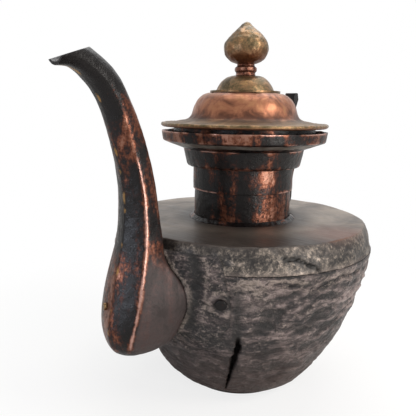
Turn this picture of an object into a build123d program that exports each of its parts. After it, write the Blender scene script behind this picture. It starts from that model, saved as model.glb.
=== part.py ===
"""Hammered copper tea ewer with a long spout, a strap handle and a hinged lid.

Millimetres. Z is up and the origin is the centre of the flat base, on the axis of the
bowl, neck and lid. The spout points along X, the handle and hinge stand opposite it.
"""

import os
from math import asin, atan2, cos, hypot, radians, sin, sqrt

from build123d import *

os.makedirs("parts", exist_ok=True)

# Bowl, whose side passes through shares of the way out and up from its foot to its belly
shoulder_height = 126.0
shoulder_drop = 20.0
shoulder_inset = 6.0
belly_radius = 96.0
foot_radius = 40.0
bowl_sheet = 2.0
foot_turn_in = 10.0
foot_sheet_slope = 0.4
flank_shares = ((0.2589, 0.0805), (0.4643, 0.2241), (0.6607, 0.4061), (0.8089, 0.5881), (0.9143, 0.7510),
                (0.9804, 0.8851))
base_sheet = 1.6

# Shoulder plate, whose rim turns down and laps the bowl
plate_sheet = 1.4
lap_share = 0.85
lap_groove = 0.7
rim_round = 2.2

# Neck
neck_radius = 36.2
neck_sheet = 1.6
neck_height = 51.4
neck_tube_height = 27.0
sleeve_sheet = 1.2
sleeve_lap = 5.4
neck_ring_width = 4.6
neck_ring_height = 1.8
neck_ring_bevel = (1.2, 2.3)

# Collar and mouth dish
collar_height = 12.8
collar_step = 4.9
collar_flare = 2.5
collar_sheet = 1.4
dish_sheet = 1.8
dish_depth = 5.6
dish_edge_height = 7.4
dish_edge_flare = 1.0
mouth_spread = 23.6

# Lid
lid_sheet = 1.5
lid_lift = 4.8
brim_set_in = 1.4
brim_width = 12.6
brim_rise = 2.4
dome_height = 19.7
dome_top_radius = 24.5
dome_shares = ((0.2667, 0.0964), (0.3733, 0.2995), (0.4356, 0.5279), (0.5600, 0.7665), (0.7556, 0.9442))
edge_band_half_width = 1.8
edge_band_half_height = 1.65
seat_ring_set_in = 9.0
seat_ring_sheet = 1.5
seat_gap = 0.3
step_disc_overhang = 1.1
step_disc_sheet = 1.4
cap_set_in = 4.2
cap_height = 11.0
cap_top_radius = 7.4
cap_sheet = 1.5
cap_bulge = 4.2

# Finial
bead_height = 7.8
bead_foot_set_in = 0.1
bead_waist_radius = 7.0
bead_swell = 1.0
bead_top_radius = 6.3
bead_waist_share = 0.295
bead_bulge_share = 0.551
bead_neck_share = 0.795
knob_radius = 16.4
knob_height = 29.7
knob_shares = ((0.7561, 0.0909), (0.9512, 0.2290), (1.0, 0.3771), (0.9451, 0.5152), (0.7683, 0.6532),
               (0.5305, 0.7879), (0.2683, 0.9057), (0.1220, 0.9731))
stud_radius = 2.4
stud_clearance = 0.05
stud_in_knob = 10.0
stud_head_radius = 3.8
stud_head_height = 1.4
stud_head_round_share = 0.4
washer_radius = 6.5
washer_sheet = 1.2

# Spout, a six sided tube, as stations up its side ridges: out from the belly and up from the shoulder,
# then half width at the ridges, depth of the front ridge, depth and half width of the rear ridges, depth of
# the back. Its sides swell by a share of their width. The pouch ends where it is deepest
spout_sheet = 1.5
solder_gap = 0.05
pouch_stations = (
    (10.0, -71.4, 3.0, 2.4, 8.0, 4.0, 14.0),
    (16.6, -70.6, 5.2, 3.4, 16.0, 7.6, 24.0),
    (23.8, -66.8, 8.8, 4.8, 28.0, 13.0, 40.0),
    (27.6, -59.5, 12.4, 6.0, 34.0, 18.0, 46.0),
    (27.9, -50.0, 15.2, 6.7, 35.0, 22.6, 46.0),
    (25.6, -38.0, 16.9, 6.7, 32.0, 27.0, 44.0),
)
stem_stations = (
    (22.3, -24.0, 16.6, 6.5, 25.0, 24.8, 38.0),
    (19.0, -11.5, 15.5, 6.8, 16.5, 17.6, 27.0),
    (16.6, -2.0, 14.4, 6.9, 13.2, 16.0, 21.5),
    (15.1, 8.0, 13.7, 6.6, 12.0, 14.2, 18.5),
    (14.8, 20.0, 12.9, 6.0, 10.7, 12.9, 16.8),
    (15.8, 34.0, 11.8, 5.9, 10.1, 11.9, 16.0),
    (19.1, 50.0, 10.9, 5.8, 9.6, 11.0, 15.4),
    (23.5, 65.2, 10.2, 5.5, 9.0, 10.0, 14.4),
    (28.6, 78.6, 9.7, 5.1, 8.0, 9.2, 13.0),
    (34.4, 88.8, 9.4, 5.0, 7.6, 8.7, 12.4),
    (39.6, 94.8, 9.1, 4.9, 7.0, 8.3, 11.7),
    (46.0, 99.6, 8.7, 4.6, 6.4, 7.9, 11.0),
    (53.6, 103.4, 8.2, 4.2, 5.8, 7.6, 10.2),
    (65.5, 105.0, 7.6, 4.6, 5.4, 7.2, 9.4),
)
spout_lean_angles = (0.0, 0.0, 0.0, 0.0, 0.0, 0.0, 0.0, 0.0, 0.0, 0.0, 3.0, 9.0, 15.0, 20.0,
                     26.0, 37.0, 47.0, 58.0, 74.0, 88.0)
spout_swell_shares = (0.12, 0.11, 0.09, 0.07, 0.05, 0.05, 0.05, 0.05, 0.05, 0.05, 0.05, 0.05, 0.055, 0.07,
                      0.09, 0.11, 0.125, 0.13, 0.13, 0.13)
spout_lip_back = (41.4, 110.6)
spout_lip_tip = (65.5, 100.9)
spout_lip_clear = 12.0
lip_overrun = 4.0

# Flange sheet round the root of the spout
flange_sheet = 1.4
flange_half_width = 56.0
flange_half_height = 47.0
flange_drop = 34.0
flange_top_gap = 6.0

# Strainer holes in the bowl behind the spout
strainer_hole_radius = 2.5
strainer_spacing = 9.0
strainer_rows = 4
strainer_columns = 3
strainer_drop = 36.0

# Rivets
rivet_radius = 1.8
rivet_head_radius = 3.8
rivet_head_height = 1.7
rivet_head_sunk = 0.7
rivet_head_round_share = 0.42
rivet_tail_height_share = 0.6
rivet_tail_radius_share = 0.8
flange_rivet_angle = 29.6
flange_rivet_drop = 35.5
plug_radius = 1.7
plug_share = 0.42

# Handle strap
handle_width = 15.0
handle_sheet = 3.6
handle_tab_overhang = 1.5
handle_tab_drop = 1.6
handle_reach_out = 8.0
handle_reach_drop = 8.5
handle_bend_rise = 26.0
handle_bend_out = 0.5
handle_foot_length = 17.4
handle_toe_gap = 1.8
handle_corner_radii = (6.0, 11.0, 34.0, 8.0)
handle_rivet_inset = 4.6
handle_rivet_spacing = 7.8
handle_rivet_radius = 1.8
handle_rivet_head_radius = 2.9

# Hinge
pin_radius = 1.5
pin_clearance = 0.05
knuckle_radius = 3.4
knuckle_gap = 0.35
lid_knuckle_length = 9.4
side_knuckle_length = 5.6
bracket_sheet = 1.6
hinge_drop = 2.6
hinge_set_back = 0.5
pin_head_radius = 2.4
pin_head_height = 1.2
pin_head_round_share = 0.4
bracket_rivet_spacing = 8.0
bracket_rivet_gap = 0.8
bracket_rivet_radius = 1.5
leaf_width = 16.0
leaf_sheet = 1.7
leaf_past_brim = 0.5
leaf_rivet_spacing = 9.0
leaf_rivet_inset = 4.6
leaf_rivet_radius = 1.35
leaf_rivet_head_radius = 2.3
leaf_rivet_head_height = 1.2
brim_clearance = 0.9
thumb_height = 26.8
thumb_width = 9.0
thumb_root_sheet = 5.9
thumb_waist_sheet = 4.0
thumb_top_sheet = 7.4
thumb_crown_sheet = 4.4
thumb_lean = 1.6
thumb_swell_drop = 5.2
thumb_round = 1.4

# Shared places worked out from the sizes above
plate_underside = shoulder_height - plate_sheet
lap_height = shoulder_height - lap_share * shoulder_drop
shoulder_radius = belly_radius - shoulder_inset
belly_height = shoulder_height - shoulder_drop
shoulder_arc = (shoulder_drop**2 + shoulder_inset**2) / (2 * shoulder_inset)
shoulder_arc_centre = belly_radius - shoulder_arc
flank = [
    (foot_radius + out * (belly_radius - foot_radius), base_sheet + up * (belly_height - base_sheet))
    for out, up in flank_shares
]
sleeve_radius = neck_radius + sleeve_sheet
neck_tube_top = shoulder_height + neck_tube_height
sleeve_bottom = neck_tube_top - sleeve_lap
mouth_radius = sleeve_radius + mouth_spread
dish_bottom = shoulder_height + neck_height
dish_floor = dish_bottom + dish_sheet
dish_edge_bottom = dish_bottom + dish_depth
dish_edge_top = dish_edge_bottom + dish_edge_height
dish_edge_bottom_radius = mouth_radius - dish_edge_flare
collar_bottom = dish_bottom - collar_height
collar_bottom_radius = sleeve_radius + collar_step
collar_top_radius = collar_bottom_radius + collar_flare
brim_edge_height = dish_edge_top + lid_lift
brim_inner_height = brim_edge_height + brim_rise
brim_sheet_radius = mouth_radius - brim_set_in
brim_inner_radius = brim_sheet_radius - brim_width
dome_top = brim_inner_height + dome_height
dome_curve = [
    (brim_inner_radius - inward * (brim_inner_radius - dome_top_radius),
     brim_inner_height + up * dome_height)
    for inward, up in dome_shares
]
seat_ring_radius = mouth_radius - seat_ring_set_in
step_disc_radius = dome_top_radius + step_disc_overhang
cap_radius = step_disc_radius - cap_set_in
hinge_axis_height = brim_edge_height - hinge_drop
hinge_axis_x = -(mouth_radius + handle_sheet + bracket_sheet + hinge_set_back)
step_disc_top = dome_top + step_disc_sheet
cap_top = step_disc_top + cap_height
knob_bottom = cap_top + bead_height
stud_bore_radius = stud_radius + stud_clearance
dome_underside = dome_top - lid_sheet
spout_stations = [
    (belly_radius + out, shoulder_height + up, lean, swell, *sizes)
    for (out, up, *sizes), lean, swell in zip(
        pouch_stations + stem_stations, spout_lean_angles, spout_swell_shares)
]
lip_back = (belly_radius + spout_lip_back[0], shoulder_height + spout_lip_back[1])
lip_tip = (belly_radius + spout_lip_tip[0], shoulder_height + spout_lip_tip[1])
flange_height = shoulder_height - flange_drop
flange_rivet_height = shoulder_height - flange_rivet_drop
strainer_height = shoulder_height - strainer_drop
bracket_rivet_head_radius = 2 * bracket_rivet_radius
bracket_rivet_height = hinge_axis_height - knuckle_radius - bracket_rivet_gap - bracket_rivet_head_radius
handle_tab_bottom = dish_edge_bottom - handle_tab_overhang
handle_tab_top = dish_edge_top - handle_tab_drop
handle_reach = mouth_radius + handle_reach_out
handle_reach_height = handle_tab_bottom - handle_reach_drop
handle_toe = neck_radius + neck_ring_width + handle_toe_gap
handle_heel = handle_toe + handle_foot_length
handle_bend = (handle_heel + handle_bend_out, shoulder_height + handle_bend_rise)
leaf_reach = brim_inner_radius - leaf_past_brim
leaf_rivet_place = brim_sheet_radius - leaf_rivet_inset
thumb_top = hinge_axis_height + thumb_height

# Section on the handle's side, so that the seam of a turned skin lies clear of the spout's holes
back_section = Plane(origin=(0, 0, 0), x_dir=(-1, 0, 0), z_dir=(0, 1, 0))


def shoulder_at(height, inset):
    """Radius of the rounded shoulder at a height, on a skin that lies inset from the outside."""
    return shoulder_arc_centre + sqrt((shoulder_arc - inset) ** 2 - (height - belly_height) ** 2)


def inset_points(points, before, after, inset):
    """The points moved square to the line through their neighbours, towards the inside."""
    chain = [before, *points, after]
    moved = []
    for previous, point, following in zip(chain, chain[1:], chain[2:]):
        run = following[0] - previous[0]
        rise = following[1] - previous[1]
        length = hypot(run, rise)
        moved.append((point[0] - inset * rise / length, point[1] + inset * run / length))
    return moved


def flank_points(inset, bottom):
    """Side of the bowl from its foot to its belly, on a skin that lies inset from the outside."""
    foot = (foot_radius, base_sheet)
    belly = (belly_radius, belly_height)
    middle = inset_points(flank, foot, belly, inset)
    return [(foot_radius - foot_sheet_slope * inset, bottom), *middle, (belly_radius - inset, belly_height)]


def finish(piece, name):
    """Name a finished piece and write it."""
    piece.part.label = name
    export_step(piece.part, f"parts/{name}.step")


def rivet_on(plane, grip, shank, head_radius, head_height, sunk):
    """A rivet: dome head on the plane, shank through the grip behind it and a spread tail."""
    with BuildPart() as rivet:
        with BuildSketch(plane.offset(-sunk)) as rivet_seat:
            Circle(head_radius)
        extrude(amount=head_height)
        fillet(rivet.faces().sort_by(Axis(plane.origin, plane.z_dir)).last.edges(),
               rivet_head_round_share * head_height)
        with BuildSketch(plane.offset(-grip)) as rivet_shank:
            Circle(shank)
        extrude(amount=grip)
        with BuildSketch(plane.offset(-grip - rivet_tail_height_share * head_height)) as rivet_tail:
            Circle(rivet_tail_radius_share * head_radius)
        extrude(amount=rivet_tail_height_share * head_height)
    return rivet.part


def vessel_solid(proud):
    """The whole vessel below the shoulder as one solid, grown by a skin that stands proud of it."""
    with BuildPart() as vessel:
        with BuildSketch(back_section) as vessel_section:
            with BuildLine() as vessel_outline:
                side = flank_points(-proud, base_sheet)
                top = (shoulder_at(shoulder_height, -proud), shoulder_height + proud)
                arc_end = (top[0], shoulder_height)
                Spline(*side)
                RadiusArc(side[-1], arc_end, -(shoulder_arc + proud))
                if proud > 0:
                    Line(arc_end, top)
                Polyline(top, (0, top[1]), (0, base_sheet), side[0])
            make_face()
        revolve(axis=Axis.Z)
    return vessel.part


# Spout as two solids, its outside and its bore
def spout_section(half_width, front, flank_depth, flank_half_width, back, inset):
    """Corners of the spout's section from the front round by one side to the back, set in by the sheet."""
    corners = [
        (front, 0),
        (0, half_width),
        (-flank_depth, flank_half_width),
        (-back, 0),
        (-flank_depth, -flank_half_width),
        (0, -half_width),
    ]
    moved = []
    for place, corner in enumerate(corners):
        before = corners[place - 1]
        after = corners[(place + 1) % len(corners)]
        first = (corner[0] - before[0], corner[1] - before[1])
        second = (after[0] - corner[0], after[1] - corner[1])
        first_length = hypot(*first)
        second_length = hypot(*second)
        first_square = (-first[1] / first_length, first[0] / first_length)
        second_square = (-second[1] / second_length, second[0] / second_length)
        share = 1 + first_square[0] * second_square[0] + first_square[1] * second_square[1]
        moved.append((
            corner[0] + inset * (first_square[0] + second_square[0]) / share,
            corner[1] + inset * (first_square[1] + second_square[1]) / share,
        ))
    return moved


def spout_solid(inset, overrun):
    """The spout's form, set in by the sheet for its bore, from its pouch to its lip."""
    with BuildPart() as form:
        for place, (reach, height, lean, swell, *sizes) in enumerate(spout_stations):
            last = place == len(spout_stations) - 1
            shift = overrun if last else 0.0
            rise = inset if place == 0 else 0.0
            outward = (cos(radians(lean)), 0, -sin(radians(lean)))
            along = (sin(radians(lean)), 0, cos(radians(lean)))
            centre = (reach + shift * along[0], 0, height + shift * along[2] + rise)
            corners = spout_section(*sizes, inset)
            with BuildSketch(Plane(origin=centre, x_dir=outward, z_dir=along)) as station:
                with BuildLine() as station_outline:
                    for corner, following in zip(corners, corners[1:] + corners[:1]):
                        run = (following[0] - corner[0], following[1] - corner[1])
                        middle = (
                            0.5 * (corner[0] + following[0]) + swell * run[1],
                            0.5 * (corner[1] + following[1]) - swell * run[0],
                        )
                        ThreePointArc(corner, middle, following)
                make_face()
        loft()
    return form.part


def lip_cutter():
    """Block above the sloping rim of the spout's mouth."""
    run = lip_tip[0] - lip_back[0]
    fall = lip_back[1] - lip_tip[1]
    length = hypot(run, fall)
    along = (run / length, -fall / length)
    square = (fall / length, run / length)
    near = (lip_back[0] - lip_overrun * along[0], lip_back[1] - lip_overrun * along[1])
    far = (lip_tip[0] + spout_lip_clear * along[0], lip_tip[1] + spout_lip_clear * along[1])
    with BuildPart() as cutter:
        with BuildSketch(Plane.XZ) as cutter_side:
            Polygon(
                near,
                far,
                (far[0] + 2 * spout_lip_clear * square[0], far[1] + 2 * spout_lip_clear * square[1]),
                (near[0] + 2 * spout_lip_clear * square[0], near[1] + 2 * spout_lip_clear * square[1]),
                align=None,
            )
        extrude(amount=2 * spout_lip_clear, both=True)
    return cutter.part


spout_outside = spout_solid(0, 0)
spout_bore = spout_solid(spout_sheet, lip_overrun)

with BuildPart() as spout_whole:
    add(spout_outside)
    add(spout_bore, mode=Mode.SUBTRACT)
    add(vessel_solid(solder_gap), mode=Mode.SUBTRACT)
    add(lip_cutter(), mode=Mode.SUBTRACT)

# The spout is two formed shells that meet along a ridge on each side
with BuildPart() as front_space:
    with BuildSketch(Plane.XZ) as front_side:
        with BuildLine() as front_outline:
            ridge_points = [(station[0], station[1]) for station in spout_stations]
            ridge_end = (ridge_points[-1][0] + spout_lip_clear, ridge_points[-1][1] + spout_lip_clear)
            ridge_start = (ridge_points[0][0], ridge_points[0][1] - spout_lip_clear)
            corner = (ridge_end[0], ridge_start[1])
            Polyline(ridge_start, *ridge_points, ridge_end, corner, close=True)
        make_face()
    extrude(amount=belly_radius, both=True)

# Flange sheet that carries the spout on the bowl, up to just under the shoulder's edge
with BuildPart() as spout_flange:
    with BuildSketch(Plane.YZ.offset(0)) as spout_flange_outline:
        with Locations((0, flange_height)):
            Ellipse(flange_half_width, flange_half_height)
        with Locations((0, shoulder_height - flange_top_gap)):
            Rectangle(4 * flange_half_width, 4 * flange_half_height, align=(Align.CENTER, Align.MIN),
                      mode=Mode.SUBTRACT)
    extrude(amount=2 * belly_radius)
    add(vessel_solid(flange_sheet), mode=Mode.INTERSECT)
    add(vessel_solid(0), mode=Mode.SUBTRACT)
    add(spout_outside, mode=Mode.SUBTRACT)

# Rivets that hold the flange sheet on the bowl
skin_slope = (flank[-1][0] - flank[-2][0]) / (flank[-1][1] - flank[-2][1])
skin_radius = flank[-1][0] + flange_sheet - skin_slope * (flank[-1][1] - flange_rivet_height)
flange_rivets = []
for side in (-1, 1):
    turn = radians(side * flange_rivet_angle)
    seat = Plane(
        origin=(skin_radius * cos(turn), skin_radius * sin(turn), flange_rivet_height),
        z_dir=(cos(turn), sin(turn), -skin_slope),
    )
    flange_rivets.append(
        rivet_on(seat, flange_sheet + bowl_sheet, rivet_radius, rivet_head_radius, rivet_head_height,
                 rivet_head_sunk)
    )
with BuildPart() as spout_flange_rivets:
    for rivet in flange_rivets:
        add(rivet)

# Bowl: its sides turn in at the foot, and step in at the top by the plate that laps them
with BuildPart() as body_bowl:
    with BuildSketch(back_section) as bowl_section:
        with BuildLine() as bowl_outline:
            lap_start = (shoulder_at(lap_height - lap_groove, 0), lap_height - lap_groove)
            lap_inner = (shoulder_at(lap_height - lap_groove, plate_sheet), lap_height - lap_groove)
            lap_end = (shoulder_at(plate_underside, plate_sheet), plate_underside)
            inner_end = (shoulder_at(plate_underside, plate_sheet + bowl_sheet), plate_underside)
            inner_flank = flank_points(bowl_sheet, base_sheet + bowl_sheet)
            inner_belly = inner_flank[-1]
            Polyline((foot_radius - foot_turn_in, base_sheet), (foot_radius, base_sheet))
            Spline(*flank_points(0, base_sheet))
            RadiusArc((belly_radius, belly_height), lap_start, -shoulder_arc)
            Line(lap_start, lap_inner)
            RadiusArc(lap_inner, lap_end, -(shoulder_arc - plate_sheet))
            Line(lap_end, inner_end)
            inner_turn = (shoulder_at(belly_height, plate_sheet + bowl_sheet), belly_height)
            RadiusArc(inner_end, inner_turn, shoulder_arc - plate_sheet - bowl_sheet)
            Line(inner_turn, inner_belly)
            Spline(*reversed(inner_flank))
            Polyline(inner_flank[0], (foot_radius - foot_turn_in, base_sheet + bowl_sheet),
                     (foot_radius - foot_turn_in, base_sheet))
        make_face()
    revolve(axis=Axis.Z)
    with BuildSketch(Plane.YZ.offset(foot_radius)) as strainer:
        with Locations((0, strainer_height)):
            with GridLocations(strainer_spacing, strainer_spacing, strainer_columns, strainer_rows):
                Circle(strainer_hole_radius)
    extrude(amount=belly_radius, mode=Mode.SUBTRACT)
    add(spout_flange_rivets.part, mode=Mode.SUBTRACT)

# Flat disc soldered under the foot
with BuildPart() as base_disc:
    with BuildSketch() as base_disc_outline:
        Circle(foot_radius)
    extrude(amount=base_sheet)

# Shoulder plate with its rim turned down over the bowl
with BuildPart() as shoulder_plate:
    with BuildSketch(Plane.XZ) as plate_section:
        with BuildLine() as plate_outline:
            skirt_outer = (shoulder_at(lap_height, 0), lap_height)
            skirt_inner = (shoulder_at(lap_height, plate_sheet), lap_height)
            under_edge = (shoulder_at(plate_underside, plate_sheet), plate_underside)
            Polyline(under_edge, (neck_radius, plate_underside), (neck_radius, shoulder_height),
                     (shoulder_radius, shoulder_height))
            RadiusArc((shoulder_radius, shoulder_height), skirt_outer, shoulder_arc)
            Line(skirt_outer, skirt_inner)
            RadiusArc(skirt_inner, under_edge, -(shoulder_arc - plate_sheet))
        make_face()
    revolve(axis=Axis.Z)
    rim_edges = shoulder_plate.edges().group_by(Axis.Z)[-1].sort_by(SortBy.RADIUS)
    fillet(rim_edges[-1], rim_round)

# Neck: a lower tube, and a sleeve that laps it from above
with BuildPart() as neck_tube:
    with BuildSketch(Plane.XY.offset(plate_underside)) as neck_tube_section:
        Circle(neck_radius)
        Circle(neck_radius - neck_sheet, mode=Mode.SUBTRACT)
    extrude(amount=neck_tube_top - plate_underside)

with BuildPart() as neck_base_ring:
    with BuildSketch(Plane.XY.offset(shoulder_height)) as neck_ring_section:
        Circle(neck_radius + neck_ring_width)
        Circle(neck_radius, mode=Mode.SUBTRACT)
    extrude(amount=neck_ring_height)
    ring_edges = neck_base_ring.edges().group_by(Axis.Z)[-1].sort_by(SortBy.RADIUS)
    chamfer(ring_edges[-1], *neck_ring_bevel)

with BuildPart() as neck_sleeve:
    with BuildSketch(Plane.XY.offset(sleeve_bottom)) as sleeve_section:
        Circle(sleeve_radius)
        Circle(neck_radius, mode=Mode.SUBTRACT)
    extrude(amount=dish_floor - sleeve_bottom)

# Collar folded in to the neck at its lower edge
with BuildPart() as collar_ring:
    with BuildSketch(Plane.XZ) as collar_section:
        with BuildLine() as collar_outline:
            Polyline(
                (sleeve_radius, collar_bottom),
                (collar_bottom_radius - collar_sheet, collar_bottom),
                (collar_bottom_radius, collar_bottom + collar_sheet),
                (collar_top_radius, dish_bottom),
                (collar_top_radius - collar_sheet, dish_bottom),
                (collar_bottom_radius - collar_sheet, collar_bottom + collar_sheet),
                (sleeve_radius, collar_bottom + collar_sheet),
                close=True,
            )
        make_face()
    revolve(axis=Axis.Z)

# Mouth dish: a flat floor, a cone and an upright edge band
floor_rise = (dish_edge_bottom - dish_bottom) / (dish_edge_bottom_radius - collar_top_radius)
dish_inner_edge_radius = dish_edge_bottom_radius - dish_sheet
dish_inner_edge_height = dish_edge_bottom + dish_sheet - floor_rise * dish_sheet


def dish_floor_at(radius):
    """Height of the inside of the dish at a radius on its cone."""
    return dish_inner_edge_height - floor_rise * (dish_inner_edge_radius - radius)


with BuildPart() as mouth_dish:
    with BuildSketch(Plane.XZ) as dish_section:
        with BuildLine() as dish_outline:
            floor_turn_radius = dish_inner_edge_radius - (dish_inner_edge_height - dish_floor) / floor_rise
            Polyline(
                (sleeve_radius, dish_bottom),
                (collar_top_radius, dish_bottom),
                (dish_edge_bottom_radius, dish_edge_bottom),
                (mouth_radius, dish_edge_top),
                (mouth_radius - dish_sheet, dish_edge_top),
                (dish_inner_edge_radius, dish_inner_edge_height),
                (floor_turn_radius, dish_floor),
                (sleeve_radius, dish_floor),
                close=True,
            )
        make_face()
    revolve(axis=Axis.Z)

with BuildPart() as mouth_space:
    with BuildSketch(Plane.XZ) as mouth_space_section:
        with BuildLine() as mouth_space_outline:
            Polyline(
                (0, dish_bottom),
                (collar_top_radius, dish_bottom),
                (dish_edge_bottom_radius, dish_edge_bottom),
                (mouth_radius, dish_edge_top),
                (0, dish_edge_top),
                close=True,
            )
        make_face()
    revolve(axis=Axis.Z)

# Handle strap, riveted on the mouth's edge band and on the shoulder
tab_inner = mouth_radius - 2 * dish_sheet
tab_middle = mouth_radius + 0.5 * handle_sheet
foot_middle = shoulder_height + 0.5 * handle_sheet
handle_line_points = (
    (-tab_middle, handle_tab_top),
    (-tab_middle, handle_tab_bottom),
    (-(handle_reach - 0.5 * handle_sheet), handle_reach_height),
    (-(handle_bend[0] - 0.5 * handle_sheet), handle_bend[1]),
    (-(handle_heel - 0.5 * handle_sheet), foot_middle),
    (-handle_toe, foot_middle),
)
with BuildPart() as handle_strap:
    with BuildSketch(Plane.XZ) as handle_side:
        with BuildLine() as handle_line:
            FilletPolyline(*handle_line_points, radius=handle_corner_radii)
        trace(line_width=handle_sheet)
    extrude(amount=0.5 * handle_width, both=True)
    with BuildSketch(Plane.XZ) as handle_tab_side:
        Polygon(
            (-tab_middle, handle_tab_top),
            (-tab_inner, handle_tab_top),
            (-tab_inner, handle_tab_bottom + handle_sheet),
            (-tab_middle, handle_tab_bottom + 0.5 * handle_sheet),
            align=None,
        )
    extrude(amount=0.5 * handle_width, both=True)
    add(mouth_space.part, mode=Mode.SUBTRACT)

# Bracket with the two outer knuckles of the hinge, on the back of the strap
strap_back = -(mouth_radius + handle_sheet)
bracket_bottom = handle_tab_bottom + 0.5 * handle_sheet
knuckle_half = 0.5 * lid_knuckle_length
side_knuckle_start = knuckle_half + knuckle_gap
bracket_half_width = side_knuckle_start + side_knuckle_length
with BuildPart() as hinge_bracket:
    with BuildSketch(Plane.XZ) as bracket_side:
        with Locations((strap_back - 0.5 * bracket_sheet, bracket_bottom)):
            Rectangle(bracket_sheet, hinge_axis_height - bracket_bottom, align=(Align.CENTER, Align.MIN))
        with Locations((hinge_axis_x, hinge_axis_height)):
            Circle(knuckle_radius)
    extrude(amount=bracket_half_width, both=True)
    with BuildSketch(Plane.XZ) as knuckle_slot:
        with Locations((hinge_axis_x, hinge_axis_height)):
            Rectangle(4 * knuckle_radius, 2 * (knuckle_radius + knuckle_gap))
    extrude(amount=side_knuckle_start, both=True, mode=Mode.SUBTRACT)
    with BuildSketch(Plane.XZ) as bracket_bore:
        with Locations((hinge_axis_x, hinge_axis_height)):
            Circle(pin_radius + pin_clearance)
    extrude(amount=bracket_half_width, both=True, mode=Mode.SUBTRACT)

# Hinge pin with a peened head at each end
with BuildPart() as hinge_pin:
    with BuildSketch(Plane.XZ) as pin_section:
        with Locations((hinge_axis_x, hinge_axis_height)):
            Circle(pin_radius)
    extrude(amount=bracket_half_width + pin_head_height, both=True)
    for side in (-1, 1):
        pin_end = Plane(
            origin=(hinge_axis_x, side * bracket_half_width, hinge_axis_height), z_dir=(0, side, 0)
        )
        with BuildSketch(pin_end) as pin_head_section:
            Circle(pin_head_radius)
        extrude(amount=pin_head_height)
        pin_face = hinge_pin.faces().sort_by(Axis.Y)[0 if side < 0 else -1]
        fillet(pin_face.edges(), pin_head_round_share * pin_head_height)

# Rivets through the bracket, the strap and the mouth's edge band
with BuildPart() as bracket_rivets:
    for side in (-1, 1):
        seat = Plane(
            origin=(strap_back - bracket_sheet, side * 0.5 * bracket_rivet_spacing, bracket_rivet_height),
            z_dir=(-1, 0, 0),
        )
        grip = handle_sheet + bracket_sheet + dish_sheet + 0.5 * rivet_head_sunk
        add(rivet_on(seat, grip, bracket_rivet_radius, bracket_rivet_head_radius, rivet_head_height, 0))

# Rivets through the strap's foot and the shoulder plate
with BuildPart() as handle_foot_rivets:
    foot_top = shoulder_height + handle_sheet
    for side in (-1, 1):
        seat = Plane(
            origin=(-(handle_toe + handle_rivet_inset), side * 0.5 * handle_rivet_spacing, foot_top)
        )
        add(rivet_on(seat, handle_sheet + plate_sheet, handle_rivet_radius, handle_rivet_head_radius,
                     rivet_head_height, 0))


# Lid: one raised sheet with a broad brim and a flat topped dome
def brim_at(radius, drop):
    """Height of the brim's top at a radius, less a drop through the sheet."""
    slope = (brim_inner_height - brim_edge_height) / (brim_sheet_radius - brim_inner_radius)
    return brim_edge_height + slope * (brim_sheet_radius - radius) - drop


with BuildPart() as lid_shell:
    with BuildSketch(Plane.XZ) as lid_section:
        with BuildLine() as lid_outline:
            dome_foot = (brim_inner_radius, brim_inner_height)
            dome_crown = (dome_top_radius, dome_top)
            under_foot = (brim_inner_radius, brim_inner_height - lid_sheet)
            under_crown = (dome_top_radius, dome_underside)
            under_curve = inset_points(dome_curve, dome_foot, dome_crown, lid_sheet)
            brim_slope = (brim_inner_height - brim_edge_height) / (brim_sheet_radius - brim_inner_radius)
            Line((brim_sheet_radius, brim_edge_height), dome_foot)
            Spline(dome_foot, *dome_curve, dome_crown, tangents=[(-1, brim_slope), (-1, 0)])
            Polyline(dome_crown, (stud_bore_radius, dome_top), (stud_bore_radius, dome_underside),
                     under_crown)
            Spline(under_crown, *reversed(under_curve), under_foot, tangents=[(1, 0), (1, -brim_slope)])
            Polyline(under_foot, (brim_sheet_radius, brim_edge_height - lid_sheet),
                     (brim_sheet_radius, brim_edge_height))
        make_face()
    revolve(axis=Axis.Z)

# Brass band rolled round the edge of the brim
with BuildPart() as lid_edge_band:
    with BuildSketch(Plane.XZ) as band_section:
        with Locations((brim_sheet_radius, brim_edge_height - 0.5 * lid_sheet)):
            Ellipse(edge_band_half_width, edge_band_half_height)
    revolve(axis=Axis.Z)
    add(lid_shell.part, mode=Mode.SUBTRACT)

# Ring under the brim that stands in the mouth dish
with BuildPart() as lid_seat_ring:
    with BuildSketch(Plane.XZ) as seat_ring_section:
        seat_ring_inner = seat_ring_radius - seat_ring_sheet
        seat_ring_bottom = dish_floor_at(seat_ring_radius) + seat_gap
        Polygon(
            (seat_ring_inner, seat_ring_bottom),
            (seat_ring_radius, seat_ring_bottom),
            (seat_ring_radius, brim_at(seat_ring_radius, lid_sheet)),
            (seat_ring_inner, brim_at(seat_ring_inner, lid_sheet)),
            align=None,
        )
    revolve(axis=Axis.Z)

# Flat disc between the dome and the cap
with BuildPart() as lid_step_disc:
    with BuildSketch(Plane.XY.offset(dome_top)) as step_disc_outline:
        Circle(step_disc_radius)
        Circle(stud_bore_radius, mode=Mode.SUBTRACT)
    extrude(amount=step_disc_sheet)

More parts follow.
